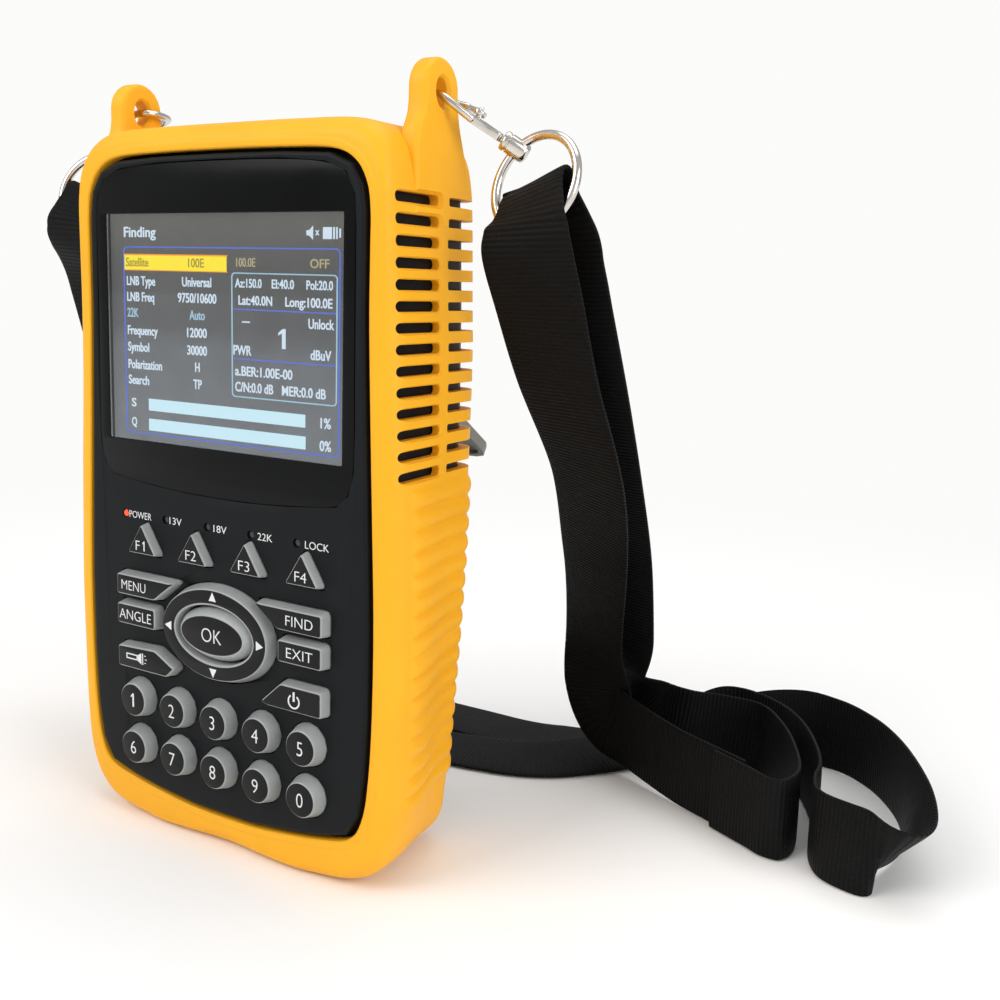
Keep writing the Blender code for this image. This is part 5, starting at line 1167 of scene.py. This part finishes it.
for label, side, shares, size, tall, middle, word in SIDE_KEYS:
    start = -31.1 if side < 0 else 31.9
    shape = np.array([(start - side * size * a, middle - tall / 2 + tall * b) for a, b in shares]) * MM
    shape = shape if side < 0 else shape[::-1]
    items = [(word[0], word[1], word[2], middle - word[3] / 2, word[3])] if word else None
    plain_key(f"key_{label}", softened(shape, 0.0008, 8), 0.00045, 0.0025, items, 0.0003)


def symbol(name, outlines, height, body):
    """White sign on a cap, from outlines in millimetres."""
    plate(name, [np.asarray(outline, dtype=float) * MM for outline in outlines], -height - SIGN_HIGH,
          -height - SIGN_LOW, legend_white, body, slot="key_plastic")


def arc_band(centre, outer, inner, start, end, steps=40):
    """Band between two circles from one bearing to another."""
    turn = np.radians(np.linspace(start, end, steps))
    ring = np.stack([np.sin(turn), np.cos(turn)], 1)
    return np.vstack([centre + outer * ring, centre + inner * ring[::-1]])


symbol("key_f1_sign", [one_outline(-22.0, 69.95, 2.4, 0.34) / MM], 0.002, "key_f1")
symbol("key_1_sign", [one_outline(-25.65, 30.8, 3.4, 0.5) / MM], 0.003, "key_1")
symbol("key_power_sign", [arc_band(np.array((24.4, 42.8)), 1.7, 1.32, 34, 326),
                          bar(24.12, 24.68, 42.8, 45.0) / MM], 0.0025, "key_power")
symbol("key_torch_sign", [bar(-28.2, -24.4, 42.6, 44.0) / MM, bar(-27.9, -24.7, 42.9, 43.7) / MM,
                          [(-24.3, 44.0), (-23.1, 44.7), (-23.1, 41.9), (-24.3, 42.6)],
                          bar(-22.8, -22.5, 41.9, 44.7) / MM, bar(-21.9, -21.3, 43.2, 43.4) / MM,
                          bar(-22.1, -21.6, 44.1, 44.3) / MM, bar(-22.1, -21.6, 42.3, 42.5) / MM],
       0.0025, "key_torch")
print("side keys", len(SIDE_KEYS))

# %% [markdown]
# The pad is an oval ring with a closed section, and four arrows that ride on it. The OK key
# stands in its middle as an oval whose side leans in step by step.

# %% Direction pad and OK key
PAD = np.array((0.3, 53.5)) * MM


def pad_rings():
    """Closed section round the pad: outer foot, outer edge, inner edge and inner foot."""
    outer = ellipse(PAD, 0.0161, 0.0108, 112)
    inner = ellipse(PAD, 0.0119, 0.0069, 112)
    rings = [station(ellipse(PAD, 0.0169, 0.0116, 112), depth) for depth in (0.0022, 0.0001)]
    for angle in np.radians((0, 22, 45, 67, 90)):
        rings.append(station(drawn_in(outer, 0.0005 * (1 - math.cos(angle))),
                             -0.0025 + 0.0005 * (1 - math.sin(angle))))
    for angle in np.radians((90, 60, 30, 0)):
        rings.append(station(drawn_in(inner, -0.0003 * (1 - math.cos(angle))),
                             -0.0025 + 0.0003 * (1 - math.sin(angle))))
    rings.append(station(inner, 0.0022))
    return np.array(rings)


pad = add_piece("dpad_skirt", grid_mesh("dpad_skirt", pad_rings(), round_rows=True), key_grey, "dpad_ring",
                40)
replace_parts(pad, "dpad_ring")
key_cap("dpad_cap", [ellipse(PAD, 0.01575, 0.01045, 112), ellipse(PAD, 0.0124, 0.0074, 112)], 0.0025,
        "dpad_ring")
ARROWS = ((0, 9.0, 0), (14.1, 0, 90), (0, -9.0, 180), (-14.1, 0, 270))
signs = []
for x, z, bearing in ARROWS:
    turn = math.radians(bearing)
    tips = np.array([(0, 1.15), (1.1, -0.95), (-1.1, -0.95)])
    tips = np.stack([tips[:, 0] * math.cos(turn) + tips[:, 1] * math.sin(turn),
                     -tips[:, 0] * math.sin(turn) + tips[:, 1] * math.cos(turn)], 1)
    signs.append(tips + PAD / MM + (x, z))
symbol("dpad_arrows", signs, 0.0025, "dpad_ring")
ok_top = ellipse(PAD, 0.0095, 0.0045, 96)
OK_STEPS = ((0.0112, 0.0062, 0.003), (0.0112, 0.0062, -0.0004), (0.0112, 0.0062, -0.0010),
            (0.0110, 0.0060, -0.0014), (0.0104, 0.0054, -0.0021), (0.0100, 0.0050, -0.0027),
            (0.0097, 0.0047, -0.00295), (0.0095, 0.0045, -0.003))
ok_rings = [station(ellipse(PAD, wide, tall, 96), depth) for wide, tall, depth in OK_STEPS]
ok_skirt = add_piece("key_ok_skirt", grid_mesh("key_ok_skirt", np.array(ok_rings)), key_grey, "key_ok", 40)
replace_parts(ok_skirt, "key_ok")
key_cap("key_ok_cap", [drawn_in(ok_top, 0.0001)], 0.003, "key_ok")
key_legend("key_ok", [("OK", -2.7, 3.4, 51.8, 3.4)], 0.003, -0.012)
print("pad and OK key have", len(pad.data.polygons) + len(ok_skirt.data.polygons), "faces")

# %% [markdown]
# Five small lamps stand in a row above the function keys, each with a printed word. Only the one
# for power is lit: a small glowing plate is laid over its pin.

# %% Indicator lamp and the printed labels of the lamps
lettering("panel_words", [
    ("POWER", -29.0, -21.6, 77.1, 1.7), ("13V", -15.6, -11.7, 77.1, 1.7), ("18V", -1.6, 2.4, 77.1, 1.7),
    ("22K", 11.7, 16.0, 77.1, 1.7), ("LOCK", 25.3, 31.9, 77.1, 1.7),
], -0.00001, 0.00006, legend_white, "meter", -0.004, "black_case")
lit = plate("power_lamp", [ellipse((-0.0303, 0.0779), 0.00078, 0.00078, 32)], 0.0001, 0.0006, lamp_red,
            "meter", 0.0002, 60, "light_pipe")
print(lit.name, "has", len(lit.data.polygons), "faces")

# %% [markdown]
# ## Floor and light
#
# The meter stands on a pale floor under soft lights. The floor and the background are close to
# white, so that they meet without a line. A large key light from the front left makes the front
# of the boot brighter than its side.

# %% Floor, background and lights
PALE = (0.972, 0.97, 0.962, 1)
floor_white, floor_shader = finish("floor_white", (0.93, 0.925, 0.915), 0.85, Specular_IOR_Level=0.15)
seen_rays = node(floor_white, "ShaderNodeLightPath").outputs
direct = node(floor_white, "ShaderNodeMath", {0: seen_rays["Is Camera Ray"], 1: seen_rays["Is Glossy Ray"]},
              operation="MAXIMUM")
direct = node(floor_white, "ShaderNodeMath",
              {0: direct.outputs[0], 1: seen_rays["Is Transmission Ray"]}, operation="MAXIMUM")
spot = node(floor_white, "ShaderNodeTexCoord").outputs["Object"]
away = node(floor_white, "ShaderNodeVectorMath", {0: spot}, operation="LENGTH")
far = node(floor_white, "ShaderNodeMapRange",
           {"Value": away.outputs["Value"], "From Min": 0.16, "From Max": 0.5})
blend = node(floor_white, "ShaderNodeMath", {0: far.outputs["Result"], 1: direct.outputs[0]},
             operation="MULTIPLY")
pale = node(floor_white, "ShaderNodeEmission", {"Color": PALE, "Strength": 1.0})
mixed = node(floor_white, "ShaderNodeMixShader",
             {0: blend.outputs[0], 1: floor_shader.outputs[0], 2: pale.outputs[0]})
floor_white.node_tree.links.new(mixed.outputs[0], floor_white.node_tree.nodes["Material Output"].inputs[0])
bpy.ops.mesh.primitive_plane_add(size=14, location=(0, 0, 0))
floor = bpy.context.object
floor.name = "floor"
floor.data.materials.append(floor_white)

world = bpy.data.worlds.new("studio")
bpy.context.scene.world = world
world.use_nodes = True
sky = world.node_tree.nodes["Background"]
sky.inputs["Color"].default_value = (1, 1, 1, 1)
sky.inputs["Strength"].default_value = 0.52
seen = node(world, "ShaderNodeBackground", {"Color": PALE})
rays = node(world, "ShaderNodeLightPath").outputs
straight = node(world, "ShaderNodeMath", {0: rays["Is Camera Ray"], 1: rays["Is Transmission Ray"]},
                operation="MAXIMUM")
either = node(world, "ShaderNodeMixShader",
              {0: straight.outputs[0], 1: sky.outputs[0], 2: seen.outputs[0]})
world.node_tree.links.new(either.outputs[0], world.node_tree.nodes["World Output"].inputs[0])


def soft_light(name, place, size, power, colour=(1, 1, 1)):
    """Square area light that looks at the middle of the meter."""
    lamp = bpy.data.lights.new(name, "AREA")
    lamp.size, lamp.energy, lamp.color = size, power, colour
    holder = bpy.data.objects.new(name, lamp)
    bpy.context.scene.collection.objects.link(holder)
    back = unit(np.array(place) - (0, 0, 0.09))
    aside = unit(np.cross((0, 0, 1), back))
    holder.matrix_world = (Matrix.Translation(place)
                           @ Matrix(np.array([aside, np.cross(back, aside), back]).T.tolist()).to_4x4())


soft_light("key_light", (-0.75, -1.25, 1.15), 1.1, 17)
soft_light("side_light", (1.35, -0.25, 0.6), 0.9, 10)
soft_light("top_light", (0.1, 0.25, 1.6), 1.3, 9)
bpy.context.scene.view_settings.view_transform = "Standard"
